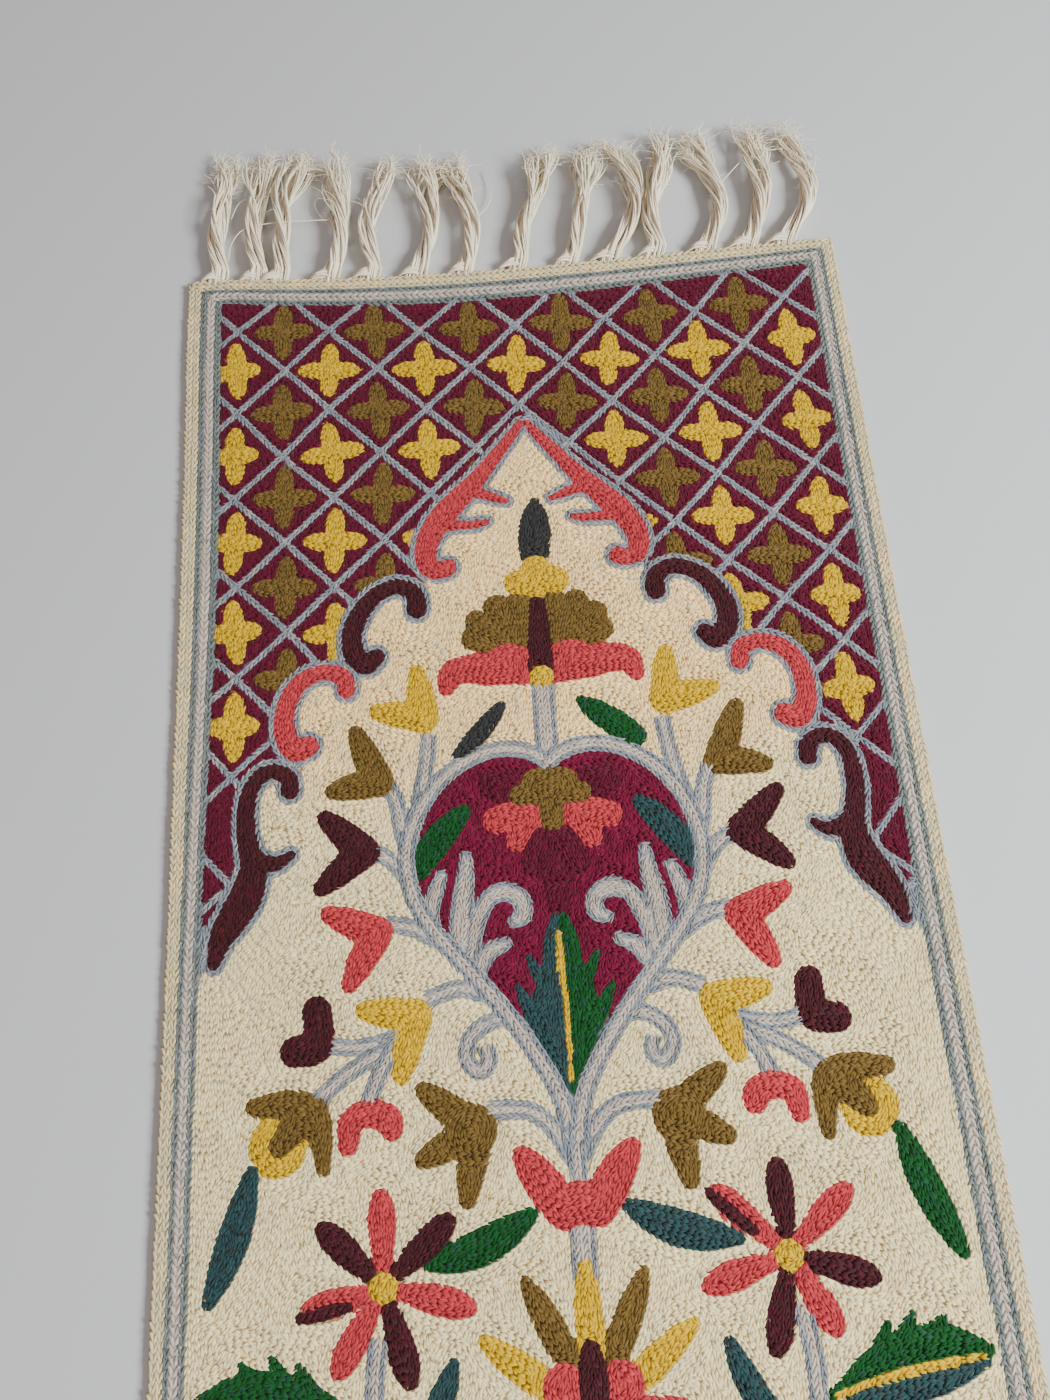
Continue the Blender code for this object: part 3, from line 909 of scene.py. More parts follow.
class Term:
    """A number socket that can be used in a Python expression."""

    def __init__(self, nodes, socket):
        self.nodes, self.socket = nodes, socket

    def math(self, operation, *values):
        made = self.nodes.node(
            "ShaderNodeMath", {"operation": operation}, dict(zip(("Value", "Value_001"), values)))
        return Term(self.nodes, made.outputs[0])

    def __add__(self, other):
        return self.math("ADD", self, other)

    def __sub__(self, other):
        return self.math("SUBTRACT", self, other)

    def __mul__(self, other):
        return self.math("MULTIPLY", self, other)

    def __rsub__(self, other):
        return self.math("SUBTRACT", other, self)

    __radd__, __rmul__ = __add__, __mul__

    def sine(self):
        return self.math("SINE", self)

    def rise(self, low, high):
        """0 below low, 1 above high and smooth between them."""
        made = self.nodes.node(
            "ShaderNodeMapRange", {"interpolation_type": "SMOOTHSTEP"},
            {"Value": self, "From Min": low, "From Max": high})
        return Term(self.nodes, made.outputs[0])


class Nodes:
    """Adds nodes to one tree."""

    def __init__(self, tree):
        self.tree = tree

    def node(self, kind, settings=None, sockets=None):
        """A node of that type: its settings are set first, then its sockets' values or links."""
        made = self.tree.nodes.new(kind)
        for name, value in (settings or {}).items():
            setattr(made, name, value)
        for key, value in (sockets or {}).items():
            target = socket_named(made.inputs, key)
            if isinstance(value, Term):
                value = value.socket
            if isinstance(value, bpy.types.NodeSocket):
                self.tree.links.new(value, target)
            else:
                target.default_value = value
        return made

    def vector(self, parts):
        return self.node("ShaderNodeCombineXYZ", sockets=parts).outputs[0]

    def held(self, name, kind="FLOAT"):
        """What a named attribute of the points holds."""
        return self.node("GeometryNodeInputNamedAttribute", {"data_type": kind}, {"Name": name}).outputs[0]

    def clothe(self, geometry, material):
        """Ends a geometry tree: real mesh in that material."""
        real = self.node("GeometryNodeRealizeInstances", sockets={"Geometry": geometry})
        finished = self.node("GeometryNodeSetMaterial", sockets={
            "Geometry": real.outputs[0], "Material": material})
        self.node("NodeGroupOutput", sockets={"Geometry": finished.outputs[0]})


class Finish(Nodes):
    """A material with one main shader."""

    def __init__(self, name, **constants):
        self.material = bpy.data.materials.new(name)
        self.material.use_nodes = True
        super().__init__(self.material.node_tree)
        self.shader = self.tree.nodes["Principled BSDF"]
        for key, value in constants.items():
            self.shader.inputs[key.replace("_", " ").title().replace("Ior", "IOR")].default_value = value

    def set(self, key, value):
        socket = value.socket if isinstance(value, Term) else value
        self.tree.links.new(socket, self.shader.inputs[key])

    def places(self):
        """Object coordinates, and their three parts as terms."""
        at = self.node("ShaderNodeTexCoord").outputs["Object"]
        split = self.node("ShaderNodeSeparateXYZ", sockets={"Vector": at})
        return at, [Term(self, out) for out in split.outputs]

    def along(self, at, name, stretch):
        """The place at, drawn out along the direction that the attribute holds."""
        way = self.attribute(name).outputs["Vector"]
        side = self.node(
            "ShaderNodeVectorMath", {"operation": "CROSS_PRODUCT"}, {0: way, 1: (0.0, 0.0, 1.0)}).outputs[0]
        parts = {}
        for key, axis, share in (("X", way, 1 / stretch), ("Y", side, 1.0)):
            dot = self.node("ShaderNodeVectorMath", {"operation": "DOT_PRODUCT"}, {0: at, 1: axis})
            parts[key] = Term(self, dot.outputs["Value"]) * share
        return self.vector(parts)

    def attribute(self, name):
        return self.node("ShaderNodeAttribute", {"attribute_name": name})

    def number(self, name):
        return Term(self, self.attribute(name).outputs["Fac"])

    def noise(self, at, grain, detail=2.0, roughness=0.5):
        """Noise whose lumps are about grain metres across."""
        made = self.node("ShaderNodeTexNoise", sockets={
            "Vector": at, "Scale": 1 / grain, "Detail": detail, "Roughness": roughness})
        return Term(self, made.outputs[0])

    def mix(self, factor, first, second, blend="MIX"):
        made = self.node("ShaderNodeMix", {"data_type": "RGBA", "blend_type": blend},
                         {"Factor_Float": factor, "A_Color": first, "B_Color": second})
        return socket_named(made.outputs, "Result_Color")

    def shade(self, colour, amount):
        """The colour made lighter or darker by amount, where 1 leaves it."""
        grey = self.node("ShaderNodeCombineColor", sockets={"Red": amount, "Green": amount, "Blue": amount})
        return self.mix(1.0, colour, grey.outputs[0], "MULTIPLY")

    def relief(self, height, distance, strength):
        bump = self.node("ShaderNodeBump", sockets={"Height": height, "Distance": distance, "Strength": strength})
        self.set("Normal", bump.outputs[0])


def rgba(colour):
    return (*colour, 1.0)


def geometry_tree(name, sockets):
    """An empty geometry tree with a mesh in and out and the named inputs."""
    tree = bpy.data.node_groups.new(name, "GeometryNodeTree")
    for way in ("INPUT", "OUTPUT"):
        tree.interface.new_socket("Geometry", in_out=way, socket_type="NodeSocketGeometry")
    for label, kind in sockets:
        tree.interface.new_socket(label, in_out="INPUT", socket_type="NodeSocket" + kind)
    return tree, Nodes(tree)


def run_tree(obj, tree, values):
    """Puts the tree on the object with these inputs and keeps the result as a plain mesh."""
    modifier = obj.modifiers.new(tree.name, "NODES")
    modifier.node_group = tree
    for item in tree.interface.items_tree:
        if item.in_out == "INPUT" and item.name in values:
            modifier[item.identifier] = values[item.name]
    depsgraph = bpy.context.evaluated_depsgraph_get()
    mesh = bpy.data.meshes.new_from_object(obj.evaluated_get(depsgraph), depsgraph=depsgraph)
    obj.modifiers.remove(modifier)
    mesh.name = obj.name
    obj.data = mesh
    return obj


def new_object(name, mesh):
    obj = bpy.data.objects.new(name, mesh)
    bpy.context.scene.collection.objects.link(obj)
    return obj


def set_attribute(mesh, name, kind, values):
    layer = mesh.attributes.new(name, kind, "POINT")
    key = {"FLOAT_VECTOR": "vector", "FLOAT_COLOR": "color"}.get(kind, "value")
    layer.data.foreach_set(key, np.asarray(values, np.float32).ravel())


# ---------------------------------------------------------------------------
# Stitches
# ---------------------------------------------------------------------------

FIBRE_STRETCH = 3.6                 # how long the marks of the fibres are for their width
LOBE_SLANT = math.radians(14)       # the two strands of a link lean together towards its end
LOBE_TILT = math.radians(3)         # and rise over the link before
LOBE_ASIDE = 0.26                   # share of the row's width from its middle to each strand
STRAY_PLACE, STRAY_MOST = 0.26, 0.6 # how far a link of a filling strays from its place, in millimetres
LENGTH_SPREAD, WIDTH_SPREAD, HEIGHT_SPREAD = (0.84, 1.16), (0.86, 1.16), (0.70, 1.26)
LINE_YARNS = ("mist", "blush", "ivory", "slate")
# where down the rug each length of the field's wool ends
FIELD_PARTS = ((330, "_upper"), (455, "_middle"), (math.inf, "_lower"))

# one strand: its corners, its share of the link's length, of the row's width and of the stitch's height,
# how high its middle lies above the cloth in millimetres, and how far it may turn
Strand = namedtuple("Strand", "corners length width height lift turn")
ROUND_STRAND = Strand(3, 2.0, 0.88, 1.0, -0.02, 0.5)       # seen by itself
LOW_STRAND = Strand(4, 2.25, 1.02, 0.56, -0.14, 0.38)      # in a filling


def chain_tree(name, strand):
    """Sets one link of chain stitch, made of two slanting strands, on each point."""
    tree, nodes = geometry_tree(name, (
        ("Link Length", "Float"), ("Row Width", "Float"), ("Stitch Height", "Float"),
        ("Strand Corners", "Int"), ("Turn", "Float"), ("Seed", "Int"), ("Wool", "Material")))
    entry = nodes.node("NodeGroupInput").outputs
    length, width, height, most_turn, seed = (Term(nodes, entry[name]) for name in (
        "Link Length", "Row Width", "Stitch Height", "Turn", "Seed"))
    size = {"X": length * strand.length, "Y": width * strand.width, "Z": height * strand.height}
    upright = 0.0
    if strand is ROUND_STRAND:
        shape = nodes.node("GeometryNodeMeshUVSphere", sockets={
            "Segments": entry["Strand Corners"], "Rings": 3, "Radius": 0.5})
        soft = nodes.node("GeometryNodeSetShadeSmooth", sockets={"Geometry": shape.outputs[0]})
        size["X"], size["Z"] = size["Z"], size["X"]
        upright = -math.pi / 2
    else:
        shape = nodes.node("GeometryNodeMeshCone", sockets={
            "Vertices": entry["Strand Corners"], "Radius Top": 0.0, "Radius Bottom": 0.5, "Depth": 1.0})
        soft = nodes.node("GeometryNodeSetShadeSmooth", sockets={
            "Geometry": shape.outputs["Mesh"], "Selection": shape.outputs["Side"]})
    size = nodes.vector(size)
    link = nodes.node("GeometryNodeJoinGeometry")
    for side in (1, -1):
        place = nodes.vector({"Y": width * (side * LOBE_ASIDE)})
        laid = nodes.node("GeometryNodeTransform", sockets={
            "Geometry": soft.outputs[0], "Scale": size, "Translation": place,
            "Rotation": (0.0, upright + LOBE_TILT, side * LOBE_SLANT)})
        tree.links.new(laid.outputs[0], link.inputs[0])

    def chance(low, high, step):
        made = nodes.node("FunctionNodeRandomValue", {"data_type": "FLOAT"}, {
            "Min_001": low, "Max_001": high, "Seed": seed + step})
        return Term(nodes, socket_named(made.outputs, "Value_001"))

    along = nodes.node("FunctionNodeAlignRotationToVector", {"axis": "X", "pivot_axis": "Z"}, {
        "Vector": nodes.held("lie", "FLOAT_VECTOR")})
    swing = chance(-1.0, 1.0, 1) * most_turn * Term(nodes, nodes.held("loose"))
    sway = nodes.node("FunctionNodeAxisAngleToRotation", sockets={"Axis": (0.0, 0.0, 1.0), "Angle": swing})
    turned = nodes.node("FunctionNodeRotateRotation", {"rotation_space": "LOCAL"}, {
        "Rotation": along.outputs[0], "Rotate By": sway.outputs[0]})
    grown = nodes.vector({
        "X": chance(*LENGTH_SPREAD, 2), "Y": Term(nodes, nodes.held("gauge")) * chance(*WIDTH_SPREAD, 3),
        "Z": chance(*HEIGHT_SPREAD, 4)})
    laid = nodes.node("GeometryNodeInstanceOnPoints", sockets={
        "Points": entry["Geometry"], "Instance": link.outputs[0], "Rotation": turned.outputs[0], "Scale": grown})
    tinted = nodes.node("GeometryNodeStoreNamedAttribute", {"data_type": "FLOAT", "domain": "INSTANCE"}, {
        "Geometry": laid.outputs[0], "Name": "shade", "Value": chance(0.0, 1.0, 5)})
    nodes.clothe(tinted.outputs[0], entry["Wool"])
    return tree


# fleck colour, share of flecks, length of the flecks in millimetres, how much single links differ, and how
# strongly the fibres show
WOOLS = {
    "cream": ("ivory", 0.26, 5.0, 0.10, 0.55),
    "ivory": ("cream", 0.30, 6.0, 0.12, 0.6),
    "maroon": ("aubergine", 0.12, 4.0, 0.22, 1.2),
    "crimson": ("maroon", 0.35, 4.0, 0.22, 1.3),
    "yellow": ("olive", 0.08, 2.5, 0.15, 1.0),
    "olive": ("aubergine", 0.08, 2.0, 0.24, 1.3),
    "coral": ("crimson", 0.13, 2.5, 0.18, 1.3),
    "aubergine": ("maroon", 0.22, 3.0, 0.26, 1.3),
    "green": ("teal", 0.22, 3.0, 0.26, 1.3),
    "teal": ("charcoal", 0.30, 3.0, 0.26, 1.3),
    "charcoal": ("teal", 0.10, 3.0, 0.28, 1.4),
    "mist": ("blush", 0.26, 3.0, 0.26, 1.0),
    "slate": ("mist", 0.24, 5.0, 0.20, 0.9),
    "blush": ("mist", 0.14, 4.0, 0.16, 0.8),
}
STRAW_FROM, STRAW_TO = 0.085, 0.035     # where along the rug the field's second dye lot gives way to the first


def wool_finish(yarn, colours, cloth_top, stitch_height):
    """Plied wool: flecks of a second shade, lighter and darker links, fibres along each strand, and a little
    shadow down between the strands."""
    fleck, share, grain, spread, fibres = WOOLS[yarn]
    finish = Finish(
        "wool_" + yarn, roughness=0.95, sheen_weight=0.05, sheen_roughness=0.6, specular_ior_level=0.1)
    at, (_, y, z) = finish.places()
    own = rgba(getattr(colours, yarn))
    if yarn == "cream":
        lot = (y + (finish.noise(at, 60 * MM) - 0.5) * 0.05).rise(STRAW_TO, STRAW_FROM)
        own = finish.mix(lot, rgba(colours.straw), own)
    patches = finish.noise(at, grain * MM, detail=3.0, roughness=0.7)
    patches = patches.rise(0.62 - share * 0.45, 0.74 - share * 0.35)
    colour = finish.mix(patches * (0.55 + 0.4 * share), own, rgba(getattr(colours, fleck)))
    dye = finish.noise(at, 55 * MM)
    streak = finish.noise(finish.along(at, "lie", FIBRE_STRETCH), 0.62 * MM, roughness=0.6)
    light = 1 - spread / 2 + finish.number("shade") * spread
    light = light * (0.93 + dye * 0.14) * (1 - 0.5 * fibres + streak * fibres)
    # painted shade: each strand is darkened low down near the cloth, where shade falls between the strands
    depth = z.rise(cloth_top - 0.1 * MM, cloth_top + stitch_height * 0.75)
    light = light * (0.92 + depth * 0.14)
    finish.set("Base Color", finish.shade(colour, light))
    finish.relief(streak, 0.24 * MM, 0.7)
    return finish.material


def stitch_pieces(links):
    """(name, yarn, links) of each piece: one for each yarn, the field's wool split in three lengths."""
    grouped = {}
    for link in links:
        key = link.yarn
        if key == "cream":
            key += next(part for end, part in FIELD_PARTS if link.v < end)
        grouped.setdefault((key, link.yarn), []).append(link)
    return [("stitches_" + key, yarn, part) for (key, yarn), part in sorted(grouped.items())]


def link_points(name, part, strand, cloth_top, random):
    """A point for each link, with the way it lies, how wide it is and how loose."""
    table = np.array([link[:-1] for link in part])
    if strand is LOW_STRAND:
        stray = np.clip(random.normal(0, STRAY_PLACE, (len(part), 2)), -STRAY_MOST, STRAY_MOST)
        table[:, :2] += stray * table[:, 5:]
    u, v, du, dv, gauge, loose = table.T
    up = cloth_top / MM + cloth_rise(u, v) + strand.lift
    mesh = bpy.data.meshes.new(name)
    mesh.from_pydata((np.column_stack([u, DESIGN_TOP - v, up]) * MM).tolist(), [], [])
    set_attribute(mesh, "lie", "FLOAT_VECTOR", np.column_stack([du, -dv, 0 * up]))
    set_attribute(mesh, "gauge", "FLOAT", gauge)
    set_attribute(mesh, "loose", "FLOAT", loose)
    return mesh


# ---------------------------------------------------------------------------
# Cloth
# ---------------------------------------------------------------------------

CLOTH_COLUMNS, CLOTH_ROWS = 150, 300
CORNER_ROUND = 3.5      # radius of the cloth's corners
WEAVE_PITCH = 1.3 * MM
# how far in from the edge, and how high as a share of the cloth's thickness, each ring of the hem lies
HEM = ((0.9, 1.0), (0.35, 0.86), (0.06, 0.62), (0.0, 0.42), (0.25, 0.16), (0.8, 0.0))


def hem_ring(inset):
    """The closed ring of (u, v) points that lies inset from the cloth's edge, with its corners rounded."""
    s = np.linspace(0, 1, CLOTH_COLUMNS + 1)
    t = np.linspace(0, 1, CLOTH_ROWS + 1)
    ring = [(a, 0.0) for a in s[:-1]] + [(1.0, b) for b in t[:-1]]
    ring += [(a, 1.0) for a in s[:0:-1]] + [(0.0, b) for b in t[:0:-1]]
    return cloth_place(np.array(ring), inset)


def cloth_place(shares, inset):
    """(u, v) of shares of the cloth, inset from its edge, and pulled in at its rounded corners."""
    across = shares[:, 0] * (RUG_WIDTH - 2 * inset) + inset
    along = shares[:, 1] * (RUG_LENGTH - 2 * inset) + inset
    near_u, near_v = np.minimum(across, RUG_WIDTH - across), np.minimum(along, RUG_LENGTH - along)
    a, b = np.clip(CORNER_ROUND - near_u, 0, None), np.clip(CORNER_ROUND - near_v, 0, None)
    pull = np.where((a > 0) & (b > 0), np.maximum(a, b) / np.maximum(np.hypot(a, b), 1e-9), 1.0)
    new_u, new_v = CORNER_ROUND - a * pull, CORNER_ROUND - b * pull
    across = np.where(a > 0, np.where(across < RUG_WIDTH / 2, new_u, RUG_WIDTH - new_u), across)
    along = np.where(b > 0, np.where(along < RUG_LENGTH / 2, new_v, RUG_LENGTH - new_v), along)
    return np.column_stack(cloth_point(across / RUG_WIDTH, along / RUG_LENGTH))


def cloth_mesh(design, colours, thickness):
    """One closed length of cloth. Its upper face carries the colour of the wool above each spot."""
    s, t = np.meshgrid(np.linspace(0, 1, CLOTH_COLUMNS + 1), np.linspace(0, 1, CLOTH_ROWS + 1))
    top = cloth_place(np.column_stack([s.ravel(), t.ravel()]), HEM[0][0])
    height = thickness + cloth_rise(top[:, 0], top[:, 1])
    points = [np.column_stack([top, height])]
    number = np.arange(len(top)).reshape(CLOTH_ROWS + 1, CLOTH_COLUMNS + 1)
    faces = np.stack([number[:-1, :-1], number[1:, :-1], number[1:, 1:], number[:-1, 1:]], -1)
    faces = faces.reshape(-1, 4).tolist()
    upper_faces = len(faces)
    last = np.concatenate([number[0, :-1], number[:-1, -1], number[-1, :0:-1], number[:0:-1, 0]])
    count = len(top)
    for inset, share in HEM[1:]:
        ring = hem_ring(inset)
        points.append(np.column_stack([ring, np.full(len(ring), thickness * share)]))
        new = np.arange(count, count + len(ring))
        count += len(ring)
        faces += np.stack([last, np.roll(last, -1), np.roll(new, -1), new], -1).tolist()
        last = new
    faces.append(last[::-1].tolist())
    points = np.vstack(points)
    mesh = bpy.data.meshes.new("base_cloth")
    world = np.column_stack([points[:, 0], DESIGN_TOP - points[:, 1], points[:, 2]]) * MM
    mesh.from_pydata(world.tolist(), [], faces)
    mesh.validate()
    table = np.array([rgba(getattr(colours, yarn)) for yarn in design.yarns])
    c = np.clip(np.round((points[:, 0] - U_FIRST) / CELL).astype(int), 0, len(design.u) - 1)
    r = np.clip(np.round((points[:, 1] - V_FIRST) / CELL).astype(int), 0, len(design.v) - 1)
    set_attribute(mesh, "wool", "FLOAT_COLOR", table[design.patch[r, c]])
    mesh.polygons.foreach_set("use_smooth", [True] * (len(faces) - 1) + [False])
    mesh.polygons.foreach_set("material_index", [0] * upper_faces + [1] * (len(faces) - upper_faces))
    return mesh


def ground_finish():
    """The cloth between the stitches, hidden by wool of the colour above it, made a little darker as painted shade
    down in the gaps.
    """
    finish = Finish("wool_ground", roughness=0.95, specular_ior_level=0.2)
    at, _ = finish.places()
    fibre = finish.noise(at, 0.5 * MM, detail=3.0, roughness=0.7)
    # painted shade: the wool's colour is darkened a little for the gaps between stitches, varied by fibre grain
    finish.set("Base Color", finish.shade(finish.attribute("wool").outputs["Color"], 0.80 + fibre * 0.26))
    finish.relief(fibre, 0.3 * MM, 0.7)
    return finish.material


def canvas_finish(colours):
    """Plain-woven unbleached cotton with slubs."""
    finish = Finish("cotton_canvas", roughness=0.92, specular_ior_level=0.25)
    at, (x, y, _) = finish.places()
    turn = ROUND / WEAVE_PITCH
    wobble = finish.noise(at, 6 * MM, detail=1.0) * 2.4
    warp, weft = (x * turn + wobble).sine(), (y * turn + wobble).sine()
    weave = warp * weft * 0.5 + 0.5
    slub = finish.noise(at, 2.2 * MM, detail=3.0, roughness=0.7)
    stain = finish.noise(at, 70 * MM)
    shade = (0.72 + weave * 0.16) * (0.88 + slub * 0.2) * (0.92 + stain * 0.14)
    finish.set("Base Color", finish.shade(rgba(colours.cotton), shade))
    finish.relief(weave + slub * 0.4, 0.25 * MM, 0.8)
    return finish.material


# ---------------------------------------------------------------------------
# Fringe
# ---------------------------------------------------------------------------

Tassel = namedtuple("Tassel", "root lean bulge curl length spread")

# millimetres: where it leaves the edge, counted from the left corner, how its line runs, and how it opens
TASSELS = (
    Tassel(16, 3, -3, -1.0, 64, 6.5), Tassel(33, 6, -5, 0.0, 65, 5.5), Tassel(44, 9, -4, 0.5, 64, 5.5),
    Tassel(67, 3, 3, 1.0, 61, 6.0), Tassel(86, 10, -6, -0.5, 61, 6.0), Tassel(107, 4, 4, 1.0, 60, 6.0),
    Tassel(129, -3, 3, 1.0, 60, 7.0), Tassel(153, 16, -1, -1.0, 62, 6.0), Tassel(177, 12, 1, 0.0, 61, 6.0),
    Tassel(196, 7, 9, 1.0, 58, 6.0), Tassel(216, 9, -2, -2.0, 62, 5.0), Tassel(240, -3, 8, 1.5, 59, 5.0),
    Tassel(260, 7, 4, 1.0, 61, 6.0), Tassel(277, 6, 9, 2.0, 59, 6.5),
)
LEFT_CORNER = -149.0
LOWER_EASE = 0.85       # the tassels at the other end lie straighter
KNOT_REACH = 4.0        # how far a knot reaches out from the edge
# single threads that wander off: (from the left corner, out from the edge, above the floor)
STRAYS = (
    ((19, 10, 3), (21, 18, 5), (27, 25, 6), (40, 27, 6.5), (55, 27.5, 6), (70, 28, 5)),
    ((20, 34, 3), (24, 42, 4), (31, 45, 4), (37, 46, 4), (40, 53, 2)),
    ((68, 26, 4), (61, 36, 3), (59, 44, 2), (64, 52, 3), (57, 60, 1.5)),
    ((88, 24, 4), (84, 38, 4), (88, 50, 4), (100, 58, 3), (109, 63, 1)),
    ((130, 26, 4), (139, 34, 3), (142, 45, 2), (140, 57, 1.5)),
    ((206, 38, 4), (201, 49, 4), (194, 53, 3), (184, 47, 1)),
    ((226, 44, 5), (232, 56, 4), (241, 52, 3), (246, 44, 1.5)),
    ((243, 28, 4), (252, 37, 6), (260, 46, 5), (268, 52, 2)),
    ((284, 28, 4), (293, 38, 3), (296, 50, 2), (288, 60, 1.5)),
    ((264, 56, 4), (274, 51, 5), (286, 53, 3), (299, 47, 1)),
)
THREAD_SIDES = 3
THREAD_STEPS, KNOT_STEPS, FRAY_STEPS = 20, 9, 5     # points of a thread, of a turn of the knot and of a frayed ply
PLIES, YARNS = 3, 4             # a tassel is wound of plies and each ply of yarns
PLY_TURN = 1.5 * math.pi        # how far the plies wind round each other from the knot to the tips
# how far plies and yarns lie from their middle: anywhere, more at the tassel's foot and more where it is loose
PLY_REACH, YARN_REACH, THREAD_REACH = (2.25, 0.45, 0.8), (1.6, 1.0, 0.35), 0.5
THREAD_START = -2.5             # threads start this far inside the cloth's edge
FLATNESS = 0.86                 # how high a tassel lies, as a share of how wide it is
LOFT = 3.4                      # how far the higher yarns spring up from the floor, in millimetres
SHORT_SHARE = 0.10              # share of the threads that end part of the way up
HOOK = 2.8                      # how far to the left a tassel leaves the edge
WRAPS, WRAP_GAUGE = 13, 1.2     # turns of thread round the knot
STRAY_GAUGE = 0.62

# where it lies in its ply, how many waves it makes and from where, and how far it waves, bends, runs and lifts
Yarn = namedtuple("Yarn", "ply angle reach waves start swing bend length loft")


def tassel_threads(random, tassel, count, thread_radius):
    """Lines of (across, out, up, gauge), from inside the cloth's edge to each thread's frayed tip.

    Three plies wind loosely round each other, part and wander off towards the tips."""
    lines = knot_wraps(random, tassel, thread_radius)
    first, ply_turn = random.uniform(0, ROUND), PLY_TURN * random.uniform(0.85, 1.15)
    fans = np.linspace(-1.0, 1.0, PLIES) + random.normal(0, 0.2, PLIES)
    random.shuffle(fans)
    drift, phase = random.uniform(0.5, 1.7, PLIES), random.uniform(0, ROUND, PLIES)
    yarns = [Yarn(number % PLIES, ROUND * (number // PLIES) / YARNS + random.uniform(-0.4, 0.4),
                  random.uniform(0.55, 0.95), random.uniform(0.9, 2.2), random.uniform(0, ROUND),
                  random.uniform(0.3, 1.3), np.clip(random.normal(0, 1.6), -3, 3), random.uniform(0.84, 1.02),
                  LOFT * max(random.uniform(-0.4, 1.0), 0))
             for number in range(PLIES * YARNS)]
    share = np.linspace(0, 1, THREAD_STEPS)
    for number in range(count):
        yarn = yarns[number % len(yarns)]
        short = random.uniform(0.62, 0.88) if random.uniform() < SHORT_SHARE else random.uniform(0.94, 1.04)
        out = THREAD_START + (tassel.length + KNOT_REACH) * yarn.length * short * share
        part = np.clip((out - KNOT_REACH) / tassel.length, 0, 1.1)
        centre = tassel.lean * part + tassel.bulge * np.sin(np.pi * part) + tassel.curl * np.sin(ROUND * part)
        loose, foot, tip = ease(0.12, 0.9, part), 1 - ease(-1.0, 6.5, out), ease(0.62, 1.0, share)
        wide_ply, wide_yarn = (wide + at_foot * foot + where_loose * loose
                               for wide, at_foot, where_loose in (PLY_REACH, YARN_REACH))
        wind = first + ROUND * yarn.ply / PLIES + ply_turn * part * (1 - 0.35 * part)
        turn = yarn.angle + 1.5 * ply_turn * part
        own = random.uniform(0, ROUND) + 2.2 * ply_turn * part
        wave = yarn.swing * loose * np.sin(ROUND * yarn.waves * part + yarn.start)
        wander = drift[yarn.ply] * loose * np.sin(2.2 * np.pi * part + phase[yarn.ply])
        split = np.clip(random.normal(0, 1.3), -3.5, 3.5) * tip ** 2
        across = (centre - HOOK * foot ** 2 + wide_ply * np.cos(wind) + wide_yarn * yarn.reach * np.cos(turn)
                  + THREAD_REACH * np.cos(own) + fans[yarn.ply] * 0.22 * tassel.spread * loose ** 1.4
                  + wave + wander + yarn.bend * tip + split)
        high = (wide_ply * (1 + np.sin(wind)) + wide_yarn * (1 + yarn.reach * np.sin(turn))
                + THREAD_REACH * np.sin(own)) * FLATNESS
        leave = 0.3 + 0.7 * ease(-0.8, 3.0, out)
        up = (thread_radius + np.maximum(high, 0) * (1 - 0.3 * loose) * (1 - 0.45 * foot) * leave
              + yarn.loft * ease(0.05, 0.45, part))
        gauge = 1.22 - 0.2 * ease(0.1, 0.55, part) - 0.27 * ease(0.75, 1.0, part)
        line = np.column_stack([tassel.root + across, out, up, gauge])
        lines.append(line)
        lines += frayed_tip(random, line, thread_radius)
    return lines


def knot_wraps(random, tassel, thread_radius):
    """Close turns of thread that bind the foot of a tassel into a lump, lower and longer on its left."""
    lines = []
    t = np.linspace(0, 1, KNOT_STEPS)
    long = random.uniform(2.0, 4.6)
    for turn in np.linspace(0, 1, WRAPS):
        swell = math.sin(math.pi * (0.2 + 0.7 * turn))
        left, right = 4.0 + long * (1 - turn) + random.normal(0, 0.3), 3.6 + 1.4 * swell
        across = -HOOK * (1 - 0.4 * turn) - left + (left + right) * t
        out = 0.1 + 3.9 * turn + random.normal(0, 0.22) + (1.2 + 0.8 * turn + random.normal(0, 0.4)) * t ** 1.3
        high = 2.1 + 2.5 * swell + random.normal(0, 0.25)
        up = thread_radius + high * np.sin(np.pi * t ** 0.72) ** 0.7
        lines.append(np.column_stack([tassel.root + across, out, up, np.full(KNOT_STEPS, WRAP_GAUGE)]))
    return lines


def frayed_tip(random, line, thread_radius):
    """Two finer plies that part at the end of a thread."""
    tip, way = line[-1, :3], line[-1, :3] - line[-3, :3]
    way /= np.linalg.norm(way)
    side = np.array([way[1], -way[0], 0.0])
    s = np.linspace(0, 1, FRAY_STEPS)[:, None]
    plies = []
    for sign in (-1, 1):
        reach = random.uniform(2.5, 7.5)
        bend = sign * random.uniform(0.1, 1.9)
        ply = tip + way * reach * (s - 0.25 * abs(bend) * s ** 2) + side * bend * reach * 0.7 * s ** 2
        ply[:, 2] = np.maximum(ply[:, 2] + random.uniform(-1.5, 1.5) * s[:, 0] * 2, thread_radius * 0.5)
        plies.append(np.column_stack([ply, 0.52 - 0.24 * s[:, 0]]))
    return plies


